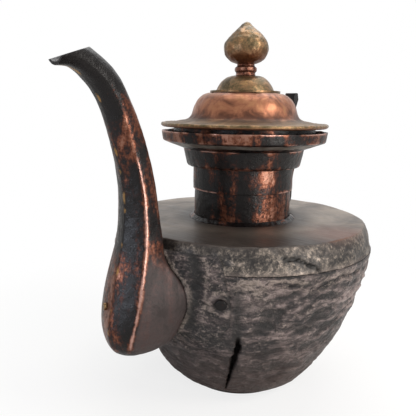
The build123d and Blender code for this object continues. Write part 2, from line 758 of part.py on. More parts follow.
# Brass cap, a hollow dome under the finial
cap_reach = cap_radius - cap_top_radius
with BuildPart() as lid_cap:
    with BuildSketch(Plane.XZ) as cap_section:
        with BuildLine() as cap_outline:
            middle = 0.5 * (cap_radius + cap_top_radius)
            lean = atan2(cap_height, cap_reach)
            swell = (cap_bulge * sin(lean), cap_bulge * cos(lean))
            outer_middle = (middle + swell[0], step_disc_top + 0.5 * cap_height + swell[1])
            inner_middle = (outer_middle[0] - cap_sheet * sin(lean), outer_middle[1] - cap_sheet * cos(lean))
            ThreePointArc((cap_radius, step_disc_top), outer_middle, (cap_top_radius, cap_top))
            Polyline((cap_top_radius, cap_top), (stud_bore_radius, cap_top),
                     (stud_bore_radius, cap_top - cap_sheet), (cap_top_radius, cap_top - cap_sheet))
            ThreePointArc((cap_top_radius, cap_top - cap_sheet), inner_middle,
                          (cap_radius - cap_sheet, step_disc_top))
            Line((cap_radius - cap_sheet, step_disc_top), (cap_radius, step_disc_top))
        make_face()
    revolve(axis=Axis.Z)

# Finial: a beaded collar and a pointed bud, on a stud riveted under the dome
with BuildPart() as finial_bead:
    with BuildSketch(Plane.XZ) as bead_section:
        with BuildLine() as bead_outline:
            bead_waist = (bead_waist_radius, cap_top + bead_waist_share * bead_height)
            bead_bulge = (bead_waist_radius + bead_swell, cap_top + bead_bulge_share * bead_height)
            bead_neck = (bead_waist_radius, cap_top + bead_neck_share * bead_height)
            bead_foot = (cap_top_radius - bead_foot_set_in, cap_top)
            Polyline((stud_bore_radius, cap_top), bead_foot, bead_waist)
            ThreePointArc(bead_waist, bead_bulge, bead_neck)
            Polyline(bead_neck, (bead_top_radius, knob_bottom), (stud_bore_radius, knob_bottom),
                     (stud_bore_radius, cap_top))
        make_face()
    revolve(axis=Axis.Z)

with BuildPart() as finial_knob:
    with BuildSketch(Plane.XZ) as knob_section:
        with BuildLine() as knob_outline:
            knob_points = [(out * knob_radius, knob_bottom + up * knob_height) for out, up in knob_shares]
            knob_tip = (0, knob_bottom + knob_height)
            Spline((bead_top_radius, knob_bottom), *knob_points, knob_tip)
            Polyline(knob_tip, (0, knob_bottom + stud_in_knob),
                     (stud_bore_radius, knob_bottom + stud_in_knob), (stud_bore_radius, knob_bottom),
                     (bead_top_radius, knob_bottom))
        make_face()
    revolve(axis=Axis.Z)

with BuildPart() as finial_washer:
    with BuildSketch(Plane.XY.offset(dome_underside - washer_sheet)) as washer_section:
        Circle(washer_radius)
        Circle(stud_bore_radius, mode=Mode.SUBTRACT)
    extrude(amount=washer_sheet)

with BuildPart() as finial_stud:
    stud_bottom = dome_underside - washer_sheet
    with BuildSketch(Plane.XY.offset(stud_bottom)) as stud_section:
        Circle(stud_radius)
    extrude(amount=knob_bottom + stud_in_knob - stud_bottom)
    with BuildSketch(Plane.XY.offset(stud_bottom - stud_head_height)) as stud_head_section:
        Circle(stud_head_radius)
    extrude(amount=stud_head_height)
    fillet(finial_stud.faces().sort_by(Axis.Z).first.edges(), stud_head_round_share * stud_head_height)

# Space that the lid's top fills, used to seat the hinge leaf on the brim
with BuildPart() as lid_space:
    with BuildSketch(Plane.XZ) as lid_space_section:
        with BuildLine() as lid_space_outline:
            Polyline((0, dome_underside), (0, dish_edge_top), (brim_sheet_radius, dish_edge_top),
                     (brim_sheet_radius, brim_edge_height), dome_foot)
            Spline(dome_foot, *dome_curve, dome_crown, tangents=[(-1, brim_slope), (-1, 0)])
            Polyline(dome_crown, (0, dome_top), (0, dome_underside))
        make_face()
        with Locations((brim_sheet_radius, brim_edge_height - 0.5 * lid_sheet)):
            Ellipse(edge_band_half_width, edge_band_half_height)
    revolve(axis=Axis.Z)

# Leaf with the middle knuckle, lying on the brim
leaf_top_inner = brim_at(leaf_reach, 0) + leaf_sheet
leaf_top_edge = brim_at(brim_sheet_radius, 0) + edge_band_half_height + 0.5 * leaf_sheet
with BuildPart() as lid_leaf:
    with BuildSketch(Plane.XZ) as leaf_side:
        with BuildLine() as leaf_outline:
            Polyline(
                (-leaf_reach, leaf_top_inner),
                (-mouth_radius, leaf_top_edge),
                (hinge_axis_x, hinge_axis_height + knuckle_radius),
                (hinge_axis_x, hinge_axis_height),
                (-(mouth_radius + brim_clearance), hinge_axis_height),
                (-leaf_reach, hinge_axis_height),
                close=True,
            )
        make_face()
    extrude(amount=0.5 * leaf_width, both=True)
    with BuildSketch(Plane.XZ) as leaf_clear:
        with Locations((hinge_axis_x, hinge_axis_height)):
            Circle(knuckle_radius + brim_clearance)
    extrude(amount=leaf_width, both=True, mode=Mode.SUBTRACT)
    add(lid_space.part, mode=Mode.SUBTRACT)
    with BuildSketch(Plane.XZ) as leaf_arm:
        with Locations((hinge_axis_x, hinge_axis_height)):
            Circle(knuckle_radius)
        Polygon(
            (-mouth_radius, leaf_top_edge),
            (hinge_axis_x, hinge_axis_height + knuckle_radius),
            (hinge_axis_x, hinge_axis_height),
            (-(mouth_radius + brim_clearance), hinge_axis_height),
            align=None,
        )
    extrude(amount=knuckle_half, both=True)
    add(lid_space.part, mode=Mode.SUBTRACT)
    with BuildSketch(Plane.XZ) as leaf_bore:
        with Locations((hinge_axis_x, hinge_axis_height)):
            Circle(pin_radius + pin_clearance)
    extrude(amount=leaf_width, both=True, mode=Mode.SUBTRACT)

with BuildPart() as leaf_rivets:
    leaf_rivet_seat = brim_at(leaf_rivet_place, 0) + leaf_sheet
    for side in (-1, 1):
        seat = Plane(
            origin=(-leaf_rivet_place, side * 0.5 * leaf_rivet_spacing, leaf_rivet_seat),
            z_dir=(-brim_slope, 0, 1),
        )
        add(rivet_on(seat, leaf_sheet + lid_sheet, leaf_rivet_radius, leaf_rivet_head_radius,
                     leaf_rivet_head_height, 0))

# Thumb piece, a lever brazed on the leaf
thumb_root_x = 0.5 * (hinge_axis_x - mouth_radius)
with BuildPart() as thumb_piece:
    with BuildSketch(Plane.XZ) as thumb_side:
        with BuildLine() as thumb_outline:
            thumb_middle = 0.5 * (hinge_axis_height + knuckle_radius + thumb_top)
            thumb_top_x = thumb_root_x - thumb_lean
            Polyline(
                (thumb_root_x + 0.5 * thumb_root_sheet, hinge_axis_height),
                (thumb_root_x + 0.5 * thumb_waist_sheet, thumb_middle),
                (thumb_top_x + 0.5 * thumb_top_sheet, thumb_top - thumb_swell_drop),
                (thumb_top_x + 0.5 * thumb_crown_sheet, thumb_top),
                (thumb_top_x - 0.5 * thumb_crown_sheet, thumb_top),
                (thumb_top_x - 0.5 * thumb_top_sheet, thumb_top - thumb_swell_drop),
                (thumb_root_x - 0.5 * thumb_waist_sheet, thumb_middle),
                (thumb_root_x - 0.5 * thumb_root_sheet, hinge_axis_height),
                close=True,
            )
        make_face()
        fillet(thumb_side.vertices().group_by(Axis.Y)[-1], thumb_round)
    extrude(amount=0.5 * thumb_width, both=True)
    with BuildSketch(Plane.XZ) as thumb_clear:
        with Locations((hinge_axis_x, hinge_axis_height)):
            Circle(knuckle_radius)
    extrude(amount=thumb_width, both=True, mode=Mode.SUBTRACT)
    add(lid_leaf.part, mode=Mode.SUBTRACT)
    add(lid_space.part, mode=Mode.SUBTRACT)

# Brass plug riveted through one of the pouch's front sides
plug_reach, plug_height, _, plug_swell, plug_half, plug_front, *_ = spout_stations[len(pouch_stations) - 1]
plug_side = hypot(plug_half, plug_front)
plug_square = (plug_half / plug_side, -plug_front / plug_side)
plug_arc_rise = plug_swell * plug_side * (1 - (1 - 2 * plug_share) ** 2)
plug_seat = Plane(
    origin=(
        plug_reach + (1 - plug_share) * plug_front + plug_arc_rise * plug_square[0],
        -plug_share * plug_half + plug_arc_rise * plug_square[1],
        plug_height,
    ),
    z_dir=(plug_square[0], plug_square[1], 0),
)
with BuildPart() as spout_plug:
    add(rivet_on(plug_seat, spout_sheet, plug_radius, 1.4 * plug_radius, plug_radius, 0.3 * plug_radius))

with BuildPart() as spout_front_shell:
    add(spout_whole.part)
    add(front_space.part, mode=Mode.INTERSECT)
    add(spout_plug.part, mode=Mode.SUBTRACT)

with BuildPart() as spout_back_shell:
    add(spout_whole.part)
    add(front_space.part, mode=Mode.SUBTRACT)

# Sheets with their rivet holes
with BuildPart() as pierced_flange:
    add(spout_flange.part)
    add(spout_flange_rivets.part, mode=Mode.SUBTRACT)

with BuildPart() as pierced_plate:
    add(shoulder_plate.part)
    add(handle_foot_rivets.part, mode=Mode.SUBTRACT)

with BuildPart() as pierced_dish:
    add(mouth_dish.part)
    add(bracket_rivets.part, mode=Mode.SUBTRACT)

with BuildPart() as pierced_strap:
    add(handle_strap.part)
    add(bracket_rivets.part, mode=Mode.SUBTRACT)
    add(handle_foot_rivets.part, mode=Mode.SUBTRACT)

with BuildPart() as pierced_bracket:
    add(hinge_bracket.part)
    add(bracket_rivets.part, mode=Mode.SUBTRACT)

with BuildPart() as pierced_lid:
    add(lid_shell.part)
    add(leaf_rivets.part, mode=Mode.SUBTRACT)

with BuildPart() as pierced_leaf:
    add(lid_leaf.part)
    add(leaf_rivets.part, mode=Mode.SUBTRACT)

finish(body_bowl, "body_bowl")
finish(base_disc, "base_disc")
finish(pierced_plate, "shoulder_plate")
finish(neck_base_ring, "neck_base_ring")
finish(neck_tube, "neck_tube")
finish(neck_sleeve, "neck_sleeve")
finish(collar_ring, "collar_ring")
finish(pierced_dish, "mouth_dish")
finish(spout_front_shell, "spout_front_shell")
finish(spout_back_shell, "spout_back_shell")
finish(pierced_flange, "spout_flange")
finish(spout_flange_rivets, "spout_flange_rivets")
finish(spout_plug, "spout_plug")
finish(pierced_strap, "handle_strap")
finish(handle_foot_rivets, "handle_foot_rivets")
finish(pierced_bracket, "hinge_bracket")
finish(bracket_rivets, "hinge_bracket_rivets")
finish(hinge_pin, "hinge_pin")
finish(pierced_leaf, "lid_hinge_leaf")
finish(leaf_rivets, "lid_leaf_rivets")
finish(thumb_piece, "thumb_piece")
finish(pierced_lid, "lid_shell")
finish(lid_edge_band, "lid_edge_band")
finish(lid_seat_ring, "lid_seat_ring")
finish(lid_step_disc, "lid_step_disc")
finish(lid_cap, "lid_cap")
finish(finial_bead, "finial_bead")
finish(finial_knob, "finial_knob")
finish(finial_washer, "finial_washer")
finish(finial_stud, "finial_stud")
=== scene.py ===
"""Looks of a hammered copper tea ewer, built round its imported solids.

Metres. The frame is the solids' own: Z up from the base, the spout along X, the handle and
hinge opposite it. Each operator makes one piece or group of like pieces.
"""

import functools
import itertools
import math

import bmesh
import bpy
import numpy as np
from mathutils import Matrix, Vector


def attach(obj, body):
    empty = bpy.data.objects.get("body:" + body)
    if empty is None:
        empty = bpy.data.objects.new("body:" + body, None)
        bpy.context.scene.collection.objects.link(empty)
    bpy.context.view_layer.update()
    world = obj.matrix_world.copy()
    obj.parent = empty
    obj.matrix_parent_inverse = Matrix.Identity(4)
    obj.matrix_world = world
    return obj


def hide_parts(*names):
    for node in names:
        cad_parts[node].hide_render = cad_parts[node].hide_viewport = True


bl_info = {
    "name": "Hammered copper tea ewer",
    "version": (1, 0, 0),
    "blender": (4, 5, 0),
    "location": "View3D > Sidebar > Ewer",
    "description": "Builds the ewer's pieces, finishes and stage round the packed solids",
    "category": "Object",
}

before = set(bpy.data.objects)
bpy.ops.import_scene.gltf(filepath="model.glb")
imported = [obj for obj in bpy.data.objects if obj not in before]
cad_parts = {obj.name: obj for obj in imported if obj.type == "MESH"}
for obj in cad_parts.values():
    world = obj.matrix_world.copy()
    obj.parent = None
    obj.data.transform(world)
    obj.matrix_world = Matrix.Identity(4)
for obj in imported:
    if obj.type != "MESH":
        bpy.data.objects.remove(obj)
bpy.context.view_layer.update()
MM = 0.001

# Outside of the vessel, radius and height in millimetres, as the solids have it
FOOT_RADIUS = 40.0
BASE_TOP = 1.6
FLANK = ((54.5, 10.0), (66.0, 25.0), (77.0, 44.0), (85.3, 63.0), (91.2, 80.0), (94.9, 94.0))
BELLY = (96.0, 106.0)
SIDE = ((FOOT_RADIUS, BASE_TOP), *FLANK, BELLY)
SHOULDER = (90.0, 126.0)
LAP_HEIGHT = 109.0
LAP_GROOVE = 0.25
BOWL_SHEET = 2.0
PLATE_SHEET = 1.4
NECK_RADIUS = 36.2
STRAINER_HOLE = 2.5
STRAINER_PITCH = 9.0
STRAINER_HEIGHT = 90.0

# Outlines of the neck's pieces, radius and height, and rounding where a corner has one
TUBE = ((34.6, 124.6), (36.2, 124.6), (36.2, 153.0, 0.3), (34.6, 153.0, 0.3))
SLEEVE = ((36.25, 147.6), (37.4, 147.6, 0.5), (37.4, 179.2), (36.25, 179.2))
SOLDER_RING = ((36.0, 126.0), (40.6, 126.0, 0.5), (38.6, 127.0, 1.2), (36.6, 128.6, 0.4), (36.0, 128.4))
COLLAR = ((37.4, 164.6), (41.3, 164.6, 1.0), (42.3, 166.0, 0.8), (44.8, 177.4), (43.4, 177.4),
          (40.9, 166.0), (37.4, 166.0))
DISH = ((37.4, 177.4), (44.8, 177.4), (60.0, 183.0, 1.0), (61.0, 190.4, 0.7), (59.2, 190.4, 0.6),
        (58.2, 184.1), (46.0, 179.6), (37.4, 179.2))

# Spout stations up its side ridges, each out, up, lean, swell of its sides, half width, front depth,
# depth and half width of the rear ridges, and back depth
SPOUT_SHEET = 1.5
STATIONS = (
    (106.0, 54.6, 0.0, 0.12, 3.0, 2.4, 8.0, 4.0, 14.0),
    (112.6, 55.4, 0.0, 0.11, 5.2, 3.4, 16.0, 7.6, 24.0),
    (119.8, 59.2, 0.0, 0.09, 8.8, 4.8, 28.0, 13.0, 40.0),
    (123.6, 66.5, 0.0, 0.07, 12.4, 6.0, 34.0, 18.0, 46.0),
    (123.9, 76.0, 0.0, 0.05, 15.2, 6.7, 35.0, 22.6, 46.0),
    (121.6, 88.0, 0.0, 0.05, 16.9, 6.7, 32.0, 27.0, 44.0),
    (118.3, 102.0, 0.0, 0.05, 16.6, 6.5, 25.0, 24.8, 38.0),
    (115.0, 114.5, 0.0, 0.05, 15.5, 6.8, 16.5, 17.6, 27.0),
    (112.6, 124.0, 0.0, 0.05, 14.4, 6.9, 13.2, 16.0, 21.5),
    (111.1, 134.0, 0.0, 0.05, 13.7, 6.6, 12.0, 14.2, 18.5),
    (110.8, 146.0, 3.0, 0.05, 12.9, 6.0, 10.7, 12.9, 16.8),
    (111.8, 160.0, 9.0, 0.05, 11.8, 5.9, 10.1, 11.9, 16.0),
    (115.1, 176.0, 15.0, 0.055, 10.9, 5.8, 9.6, 11.0, 15.4),
    (119.5, 191.2, 20.0, 0.07, 10.2, 5.5, 9.0, 10.0, 14.4),
    (124.6, 204.6, 26.0, 0.09, 9.7, 5.1, 8.0, 9.2, 13.0),
    (130.4, 214.8, 37.0, 0.11, 9.4, 5.0, 7.6, 8.7, 12.4),
    (135.6, 220.8, 47.0, 0.125, 9.1, 4.9, 7.0, 8.3, 11.7),
    (142.0, 225.6, 58.0, 0.13, 8.7, 4.6, 6.4, 7.9, 11.0),
    (149.6, 229.4, 74.0, 0.13, 8.2, 4.7, 5.8, 7.6, 10.2),
    (158.6, 231.0, 88.0, 0.13, 7.6, 6.0, 5.4, 7.2, 9.4),
)
SIDE_POINTS = 16
RIDGE_POINTS = 5
RIDGE_ROUNDING = 2.6
LIP_BACK = (137.4, 236.6)
LIP_TIP = (161.5, 228.3)
LIP_TILT = 6.0

# Flange round the spout's root, as seen along the spout
FLANGE_HALF = (56.0, 47.0)
FLANGE_HEIGHT = 92.0
FLANGE_TOP = 120.0
FLANGE_SHEET = 1.4
FLANGE_SUNK = 0.25
# Azimuth and height of its rivet, and the valley's height and azimuth from foot to rim
FLANGE_RIVET = (29.6, 90.5)
FLANGE_VALLEY = ((60.0, 13.0), (72.0, 16.2), (90.0, 19.4), (112.0, 20.2), (121.0, 18.5))

# Lid, radius and height in millimetres
LID_SHEET = 1.5
BRIM_EDGE = (59.6, 195.2)
BRIM_INNER = (47.0, 197.6)
# The brass wire on the brim's edge, height of its middle, half width and half height
BRIM_WIRE = (194.45, 1.8, 1.65)
DOME = ((41.0, 199.5), (38.6, 203.5), (37.2, 208.0), (34.4, 212.7), (30.0, 216.2))
DOME_TOP = (24.5, 217.3)
LID_LINE = (BRIM_INNER, *DOME, (27.0, 217.15), DOME_TOP)
STUD_HOLE = 2.45
STUD_DEPTH = 10.0
CAP_BOTTOM = 218.7
CAP_TOP = 229.7
CAP = ((21.4, CAP_BOTTOM), (19.6, 222.6), (16.4, 226.4), (12.4, 228.9), (7.4, CAP_TOP))
CAP_SHEET = 1.5
KNOB_BOTTOM = 237.5
BEAD = ((STUD_HOLE, CAP_TOP), (7.3, CAP_TOP, 0.3), (7.0, 231.6, 0.4), (8.0, 232.7, 0.5), (8.2, 234.0, 0.5),
        (7.9, 235.3, 0.5), (6.7, 236.2, 0.4), (6.3, KNOB_BOTTOM), (STUD_HOLE, KNOB_BOTTOM))
KNOB = ((6.3, 0.0), (12.4, 2.7), (15.6, 6.8), (16.4, 11.2), (15.5, 15.3), (12.6, 19.4), (8.7, 23.4),
        (4.4, 26.9), (2.0, 28.9), (0.0, 29.7))

# Where the camera stands in metres, and the azimuth in degrees that it looks along
CAMERA_AT = (0.3061, 0.2232, 0.2059)
CAMERA_HEADING = 220.0
# Where the lamps point, and each lamp's place, size in metres, power in watts and colour
LIT_AT = (0, 0, 0.12)
LAMPS = (
    ("key_softbox", (-0.15, 0.95, 0.80), 0.45, 7.0, "#fff8f0"),
    ("top_softbox", (-0.35, -0.1, 1.0), 0.8, 6.0, "#ffffff"),
    ("low_window", (0.10, 0.90, 0.17), 0.30, 4.0, "#fffaf5"),
    ("spout_window", (0.95, -0.12, 0.20), 0.24, 2.4, "#e6eeff"),
)

# Shader node settings in use again and again, and the distance between a wave texture's crests at scale 1
PART_ADDED = {"operation": "MULTIPLY_ADD"}
PRODUCT = {"operation": "MULTIPLY"}
COLOURS_MIXED = {"data_type": "RGBA"}
WAVE_PERIOD = math.pi / 10

# Large odd numbers that scatter a lattice corner's place into a random looking whole number
SCATTER = np.array((73856093, 19349663, 83492791), np.int64)
STIR = 1274126177


def linear(code):
    """Linear red, green and blue of an sRGB hex colour."""
    parts = [int(code[start:start + 2], 16) / 255 for start in (1, 3, 5)]
    return tuple(part / 12.92 if part <= 0.04045 else ((part + 0.055) / 1.055) ** 2.4 for part in parts)


def per_mm(size):
    """Texture scale whose features are that many millimetres across."""
    return 1 / (size * MM)


def shade(colour):
    """Red, green, blue and alpha of an sRGB hex colour, or of a colour that is linear already."""
    return (*(linear(colour) if isinstance(colour, str) else colour), 1)


def add_node(tree, kind, settings=None, inputs=None, stops=None, out=0):
    """Adds a shader node with its settings, its inputs' values or links, and its ramp's stops.

    Gives back one of its outputs, by place or name, or None where it has none.
    """
    made = tree.nodes.new(kind)
    for name, value in (settings or {}).items():
        setattr(made, name, value)
    for name, value in (inputs or {}).items():
        socket = made.inputs[name]
        if isinstance(value, bpy.types.NodeSocket):
            tree.links.new(value, socket)
        else:
            socket.default_value = shade(value) if socket.type == "RGBA" else value
    if stops:
        elements = made.color_ramp.elements
        while len(elements) < len(stops):
            elements.new(0.5)
        for element, (position, colour) in zip(elements, stops):
            element.position = position
            element.color = shade(colour)
    return made.outputs[out] if made.outputs else None


def emptied(owner):
    """Empties the shader of a material or world, and gives back the function that adds its nodes."""
    owner.use_nodes = True
    owner.node_tree.nodes.clear()
    return functools.partial(add_node, owner.node_tree)


# Shapes
def cloud(points, size, seed, octaves=2):
    """Smooth random heights between about -1 and 1, with features of a size in millimetres."""
    spot = np.asarray(points, float) / size + 31.7 * seed
    total = np.zeros(len(spot))
    share = 1.0
    for _ in range(octaves):
        cell = np.floor(spot).astype(np.int64)
        part = spot - cell
        part = part**3 * (part * (part * 6 - 15) + 10)
        for corner in itertools.product((0, 1), repeat=3):
            key = (cell + corner) @ SCATTER
            key = (key ^ (key >> 13)) * STIR
            height = ((key ^ (key >> 16)) & 0xFFFF) / 32767.5 - 1
            weight = np.prod(np.where(corner, part, 1 - part), axis=1)
            total += share * weight * height
        share *= 0.5
        spot = 2.03 * spot + 7.1
    return 1.3 * total


def smooth_line(points, count):
    """Points evenly spaced on the smooth line through the given ones."""
    points = np.array(points, float)
    lengths = np.linalg.norm(np.diff(points[:, :2], axis=0), axis=1)
    along = np.concatenate([[0], np.cumsum(lengths)])
    size = len(points)
    matrix = np.eye(size)
    target = np.zeros_like(points)
    for i in range(1, size - 1):
        before, after = lengths[i - 1], lengths[i]
        matrix[i, i - 1:i + 2] = before, 2 * (before + after), after
        target[i] = 6 * ((points[i + 1] - points[i]) / after - (points[i] - points[i - 1]) / before)
    bend = np.linalg.solve(matrix, target)
    at = np.linspace(0, along[-1], count)
    left = np.clip(np.searchsorted(along, at, side="right") - 1, 0, size - 2)
    run = lengths[left][:, None]
    far = (at - along[left])[:, None] / run
    near = 1 - far
    return (near * points[left] + far * points[left + 1]
            + run**2 / 6 * ((near**3 - near) * bend[left] + (far**3 - far) * bend[left + 1]))


def shoulder_at(height, inset=0.0):
    """Radius of the rounded shoulder at a height, on a skin set in from the outside."""
    rise = SHOULDER[1] - BELLY[1]
    turn = BELLY[0] - SHOULDER[0]
    arc = (rise**2 + turn**2) / (2 * turn)
    return BELLY[0] - arc + np.sqrt((arc - inset) ** 2 - (height - BELLY[1]) ** 2)


def set_in(points, inset):
    """An open line moved square to itself, to the left of the way it runs."""
    points = np.asarray(points, float)
    run = np.gradient(points, axis=0)
    run /= np.linalg.norm(run, axis=1)[:, None]
    return points + inset * np.stack([-run[:, 1], run[:, 0]], 1)


def soften(corners, step):
    """A closed outline with rounded corners and divided runs. A corner is radius, height and rounding."""
    corners = [tuple(corner) + (0.0,) * (3 - len(corner)) for corner in corners]
    line = []
    for index, (radius, height, rounding) in enumerate(corners):
        here = np.array((radius, height))
        before = np.array(corners[index - 1][:2]) - here
        after = np.array(corners[(index + 1) % len(corners)][:2]) - here
        reach = min(rounding, 0.45 * np.linalg.norm(before), 0.45 * np.linalg.norm(after))
        if reach < 1e-6:
            line.append(here)
            continue
        start = here + reach * before / np.linalg.norm(before)
        end = here + reach * after / np.linalg.norm(after)
        for t in (0.0, 0.25, 0.5, 0.75, 1.0):
            line.append((1 - t) ** 2 * start + 2 * t * (1 - t) * here + t**2 * end)
    divided = []
    for here, following in zip(line, line[1:] + line[:1]):
        parts = max(1, int(np.ceil(np.linalg.norm(following - here) / step)))
        divided.extend(here + (following - here) * part / parts for part in range(parts))
    return np.array(divided)


def edge_share(outline, reach):
    """How far each point of a closed outline lies on an outward corner, from 0 to 1."""
    run = np.roll(outline, -1, 0) - outline
    length = np.linalg.norm(run, axis=1)
    heading = np.arctan2(run[:, 1], run[:, 0])
    turn = (heading - np.roll(heading, 1) + np.pi) % (2 * np.pi) - np.pi
    along = np.concatenate([[0], np.cumsum(length)[:-1]])
    apart = np.abs(along[:, None] - along[None])
    apart = np.minimum(apart, length.sum() - apart)
    return np.clip((np.exp(-((apart / reach) ** 2)) @ np.clip(turn, 0, None)) / 1.2, 0, 1)


def skin(name, points, faces, marks, materials, slots=None, smooth_angle=38):
    """A mesh object from points in millimetres, faces, marks on its points and materials."""
    mesh = bpy.data.meshes.new(name)
    mesh.from_pydata((np.asarray(points) * MM).tolist(), [], faces)
    for mark, values in marks.items():
        mesh.attributes.new(mark, "FLOAT", "POINT").data.foreach_set("value", np.asarray(values, np.float32))
    for material in materials:
        mesh.materials.append(material)
    if slots is not None:
        mesh.polygons.foreach_set("material_index", np.asarray(slots, np.int32))
    mesh.polygons.foreach_set("use_smooth", np.ones(len(mesh.polygons), bool))
    mesh.set_sharp_from_angle(angle=math.radians(smooth_angle))
    mesh.update()
    piece = bpy.data.objects.new(name, mesh)
    bpy.context.scene.collection.objects.link(piece)
    return piece


def turned(name, outline, segments, relief, materials, inner=None):
    """A piece turned about the axis from a closed outline that runs anticlockwise, radius to the right.

    relief gives each point's height over the outline in millimetres, and its marks. inner tells
    which of the points lie on the inside, which gets the second material.
    """
    count = len(outline)
    run = np.roll(outline, -1, 0) - np.roll(outline, 1, 0)
    run /= np.linalg.norm(run, axis=1)[:, None]
    across = np.stack([run[:, 1], -run[:, 0]], 1)
    angle = np.linspace(0, 2 * np.pi, segments, endpoint=False)
    turn = np.stack([np.cos(angle), np.sin(angle)], 1)
    points = np.empty((segments, count, 3))
    points[..., :2] = turn[:, None] * outline[None, :, :1]
    points[..., 2] = outline[:, 1]
    out = np.empty_like(points)
    out[..., :2] = turn[:, None] * across[None, :, :1]
    out[..., 2] = across[:, 1]
    points = points.reshape(-1, 3)
    out = out.reshape(-1, 3)
    height, marks = relief(points, out)
    broken = np.clip(0.55 + 0.9 * cloud(points * (1, 1, 1.5), 10.0, 101, 3), 0, 1)
    marks = {"edge": np.tile(edge_share(outline, 1.1), segments) * broken, **marks}
    points = points + out * np.asarray(height)[:, None]
    i, j = np.meshgrid(np.arange(segments), np.arange(count), indexing="ij")
    ahead = ((i + 1) % segments) * count
    following = (j + 1) % count
    faces = np.stack([i * count + j, ahead + j, ahead + following, i * count + following], -1)
    on_axis = (outline[j, 0] < 1e-6) & (outline[following, 0] < 1e-6)
    faces = faces[~on_axis].reshape(-1, 4)
    slots = None
    if inner is not None:
        inside = inner(outline)
        slots = (inside[faces[:, 0] % count] & inside[faces[:, 3] % count]).astype(int)
    piece = skin(name, points, faces.tolist(), marks, materials, slots)
    if (outline[:, 0] < 1e-6).any():
        weld(piece)
    return piece


def weld(piece):
    """Joins the points that lie on each other, such as those on the axis, and drops empty faces."""
    made = bmesh.new()
    made.from_mesh(piece.data)
    bmesh.ops.remove_doubles(made, verts=made.verts, dist=1e-6)
    bmesh.ops.dissolve_degenerate(made, edges=made.edges, dist=1e-7)
    made.to_mesh(piece.data)
    made.free()


def cut(piece, cutter):
    """Takes the cutter out of the piece, and removes the cutter."""
    change = piece.modifiers.new("cut", "BOOLEAN")
    change.operation = "DIFFERENCE"
    change.solver = "EXACT"
    change.object = cutter
    depsgraph = bpy.context.evaluated_depsgraph_get()
    mesh = bpy.data.meshes.new_from_object(piece.evaluated_get(depsgraph), depsgraph=depsgraph)
    piece.modifiers.clear()
    old = piece.data
    piece.data = mesh
    mesh.name = piece.name
    bpy.data.meshes.remove(old)
    bpy.data.objects.remove(cutter)


def place(piece, body, slot, *nodes):
    """Puts a piece on its body, in place of the solids it stands for. The slot is not used."""
    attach(piece, body)
    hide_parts(*nodes)


def dress(material, *names, bevel=0.0):
    """Gives solids that keep their own shape a material, and edges that catch the light."""
    for name in names:
        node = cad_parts[name]
        node.data.materials.clear()
        node.data.materials.append(material)
        if bevel:
            change = node.modifiers.new("worn edges", "BEVEL")
            change.width = bevel
            change.segments = 2
            change.limit_method = "ANGLE"
            change.angle_limit = math.radians(50)
            change.harden_normals = False


def bump_at(distance, low, high):
    """A smooth step from 0 to 1 as distance goes from low to high."""
    t = np.clip((np.asarray(distance, float) - low) / (high - low), 0, 1)
    return t * t * (3 - 2 * t)


def hill(distance, width):
    """A smooth hill, 1 in its middle, and about a third of that one width away."""
    return np.exp(-((distance / width) ** 2))


def facing_out(points, out):
    """How squarely each point's outward direction faces away from the axis, from -1 to 1."""
    radius = np.maximum(np.hypot(points[:, 0], points[:, 1]), 1e-6)
    return (out[:, 0] * points[:, 0] + out[:, 1] * points[:, 1]) / radius


def azimuth_of(points):
    """Each point's azimuth in degrees, 0 at the spout."""
    return np.degrees(np.arctan2(points[:, 1], points[:, 0]))


def near_line(angle, height, line, radius=93.0):
    """Distance in millimetres from a line on the bowl, given as azimuths and heights."""
    best = np.full(len(angle), 1e9)
    spot = np.stack([np.radians(angle) * radius, height], 1)
    ends = np.array([(math.radians(a) * radius, z) for a, z in line])
    for start, end in zip(ends, ends[1:]):
        along = end - start
        t = np.clip(((spot - start) @ along) / (along @ along), 0, 1)
        best = np.minimum(best, np.linalg.norm(spot - start - t[:, None] * along, axis=1))
    return best


# Where the plate's tin has worn through to the copper, in metres
TIN_GONE = (0.002, 0.082, 0.126)

# Damage of long use on the spout's right hand side, as azimuth in degrees and height
OPEN_SEAM = ((35.9, 66.0), (36.2, 58.0), (35.4, 50.7), (34.1, 43.9), (31.7, 27.7), (28.3, 11.7))
FOLD_LINE = ((46.0, 104.5), (58.3, 101.8), (64.8, 98.5), (71.7, 100.6), (80.0, 102.6), (92.0, 101.0))
RIM_TEAR = ((52.2, 119.6), (53.4, 118.2), (55.5, 118.8), (58.9, 116.6), (62.3, 114.1), (66.2, 110.8))


def skin_shift(points):
    """How far the bowl's whole sheet is beaten in, in millimetres, and the folds and dents in it."""
    form = bpy.context.scene.ewer_form
    z = points[:, 2]
    warp = cloud(points, 30.0, 3)[:, None] * (4.0, 4.0, 9.0)
    low = (points + warp) * (1.0, 1.0, 2.7)
    folds = 1 - 2 * np.abs(cloud(low, form.fold_width / MM, 5))
    dents = cloud(points, form.dent_width / MM, 7)
    held = bump_at(z, 2.5, 14.0) * (1 - bump_at(z, 103.0, 108.0))
    shift = 0.5 * form.fold_depth / MM * (folds - 1) + 0.5 * form.dent_depth / MM * (dents - 1)
    return held * np.minimum(shift, 0), folds, dents


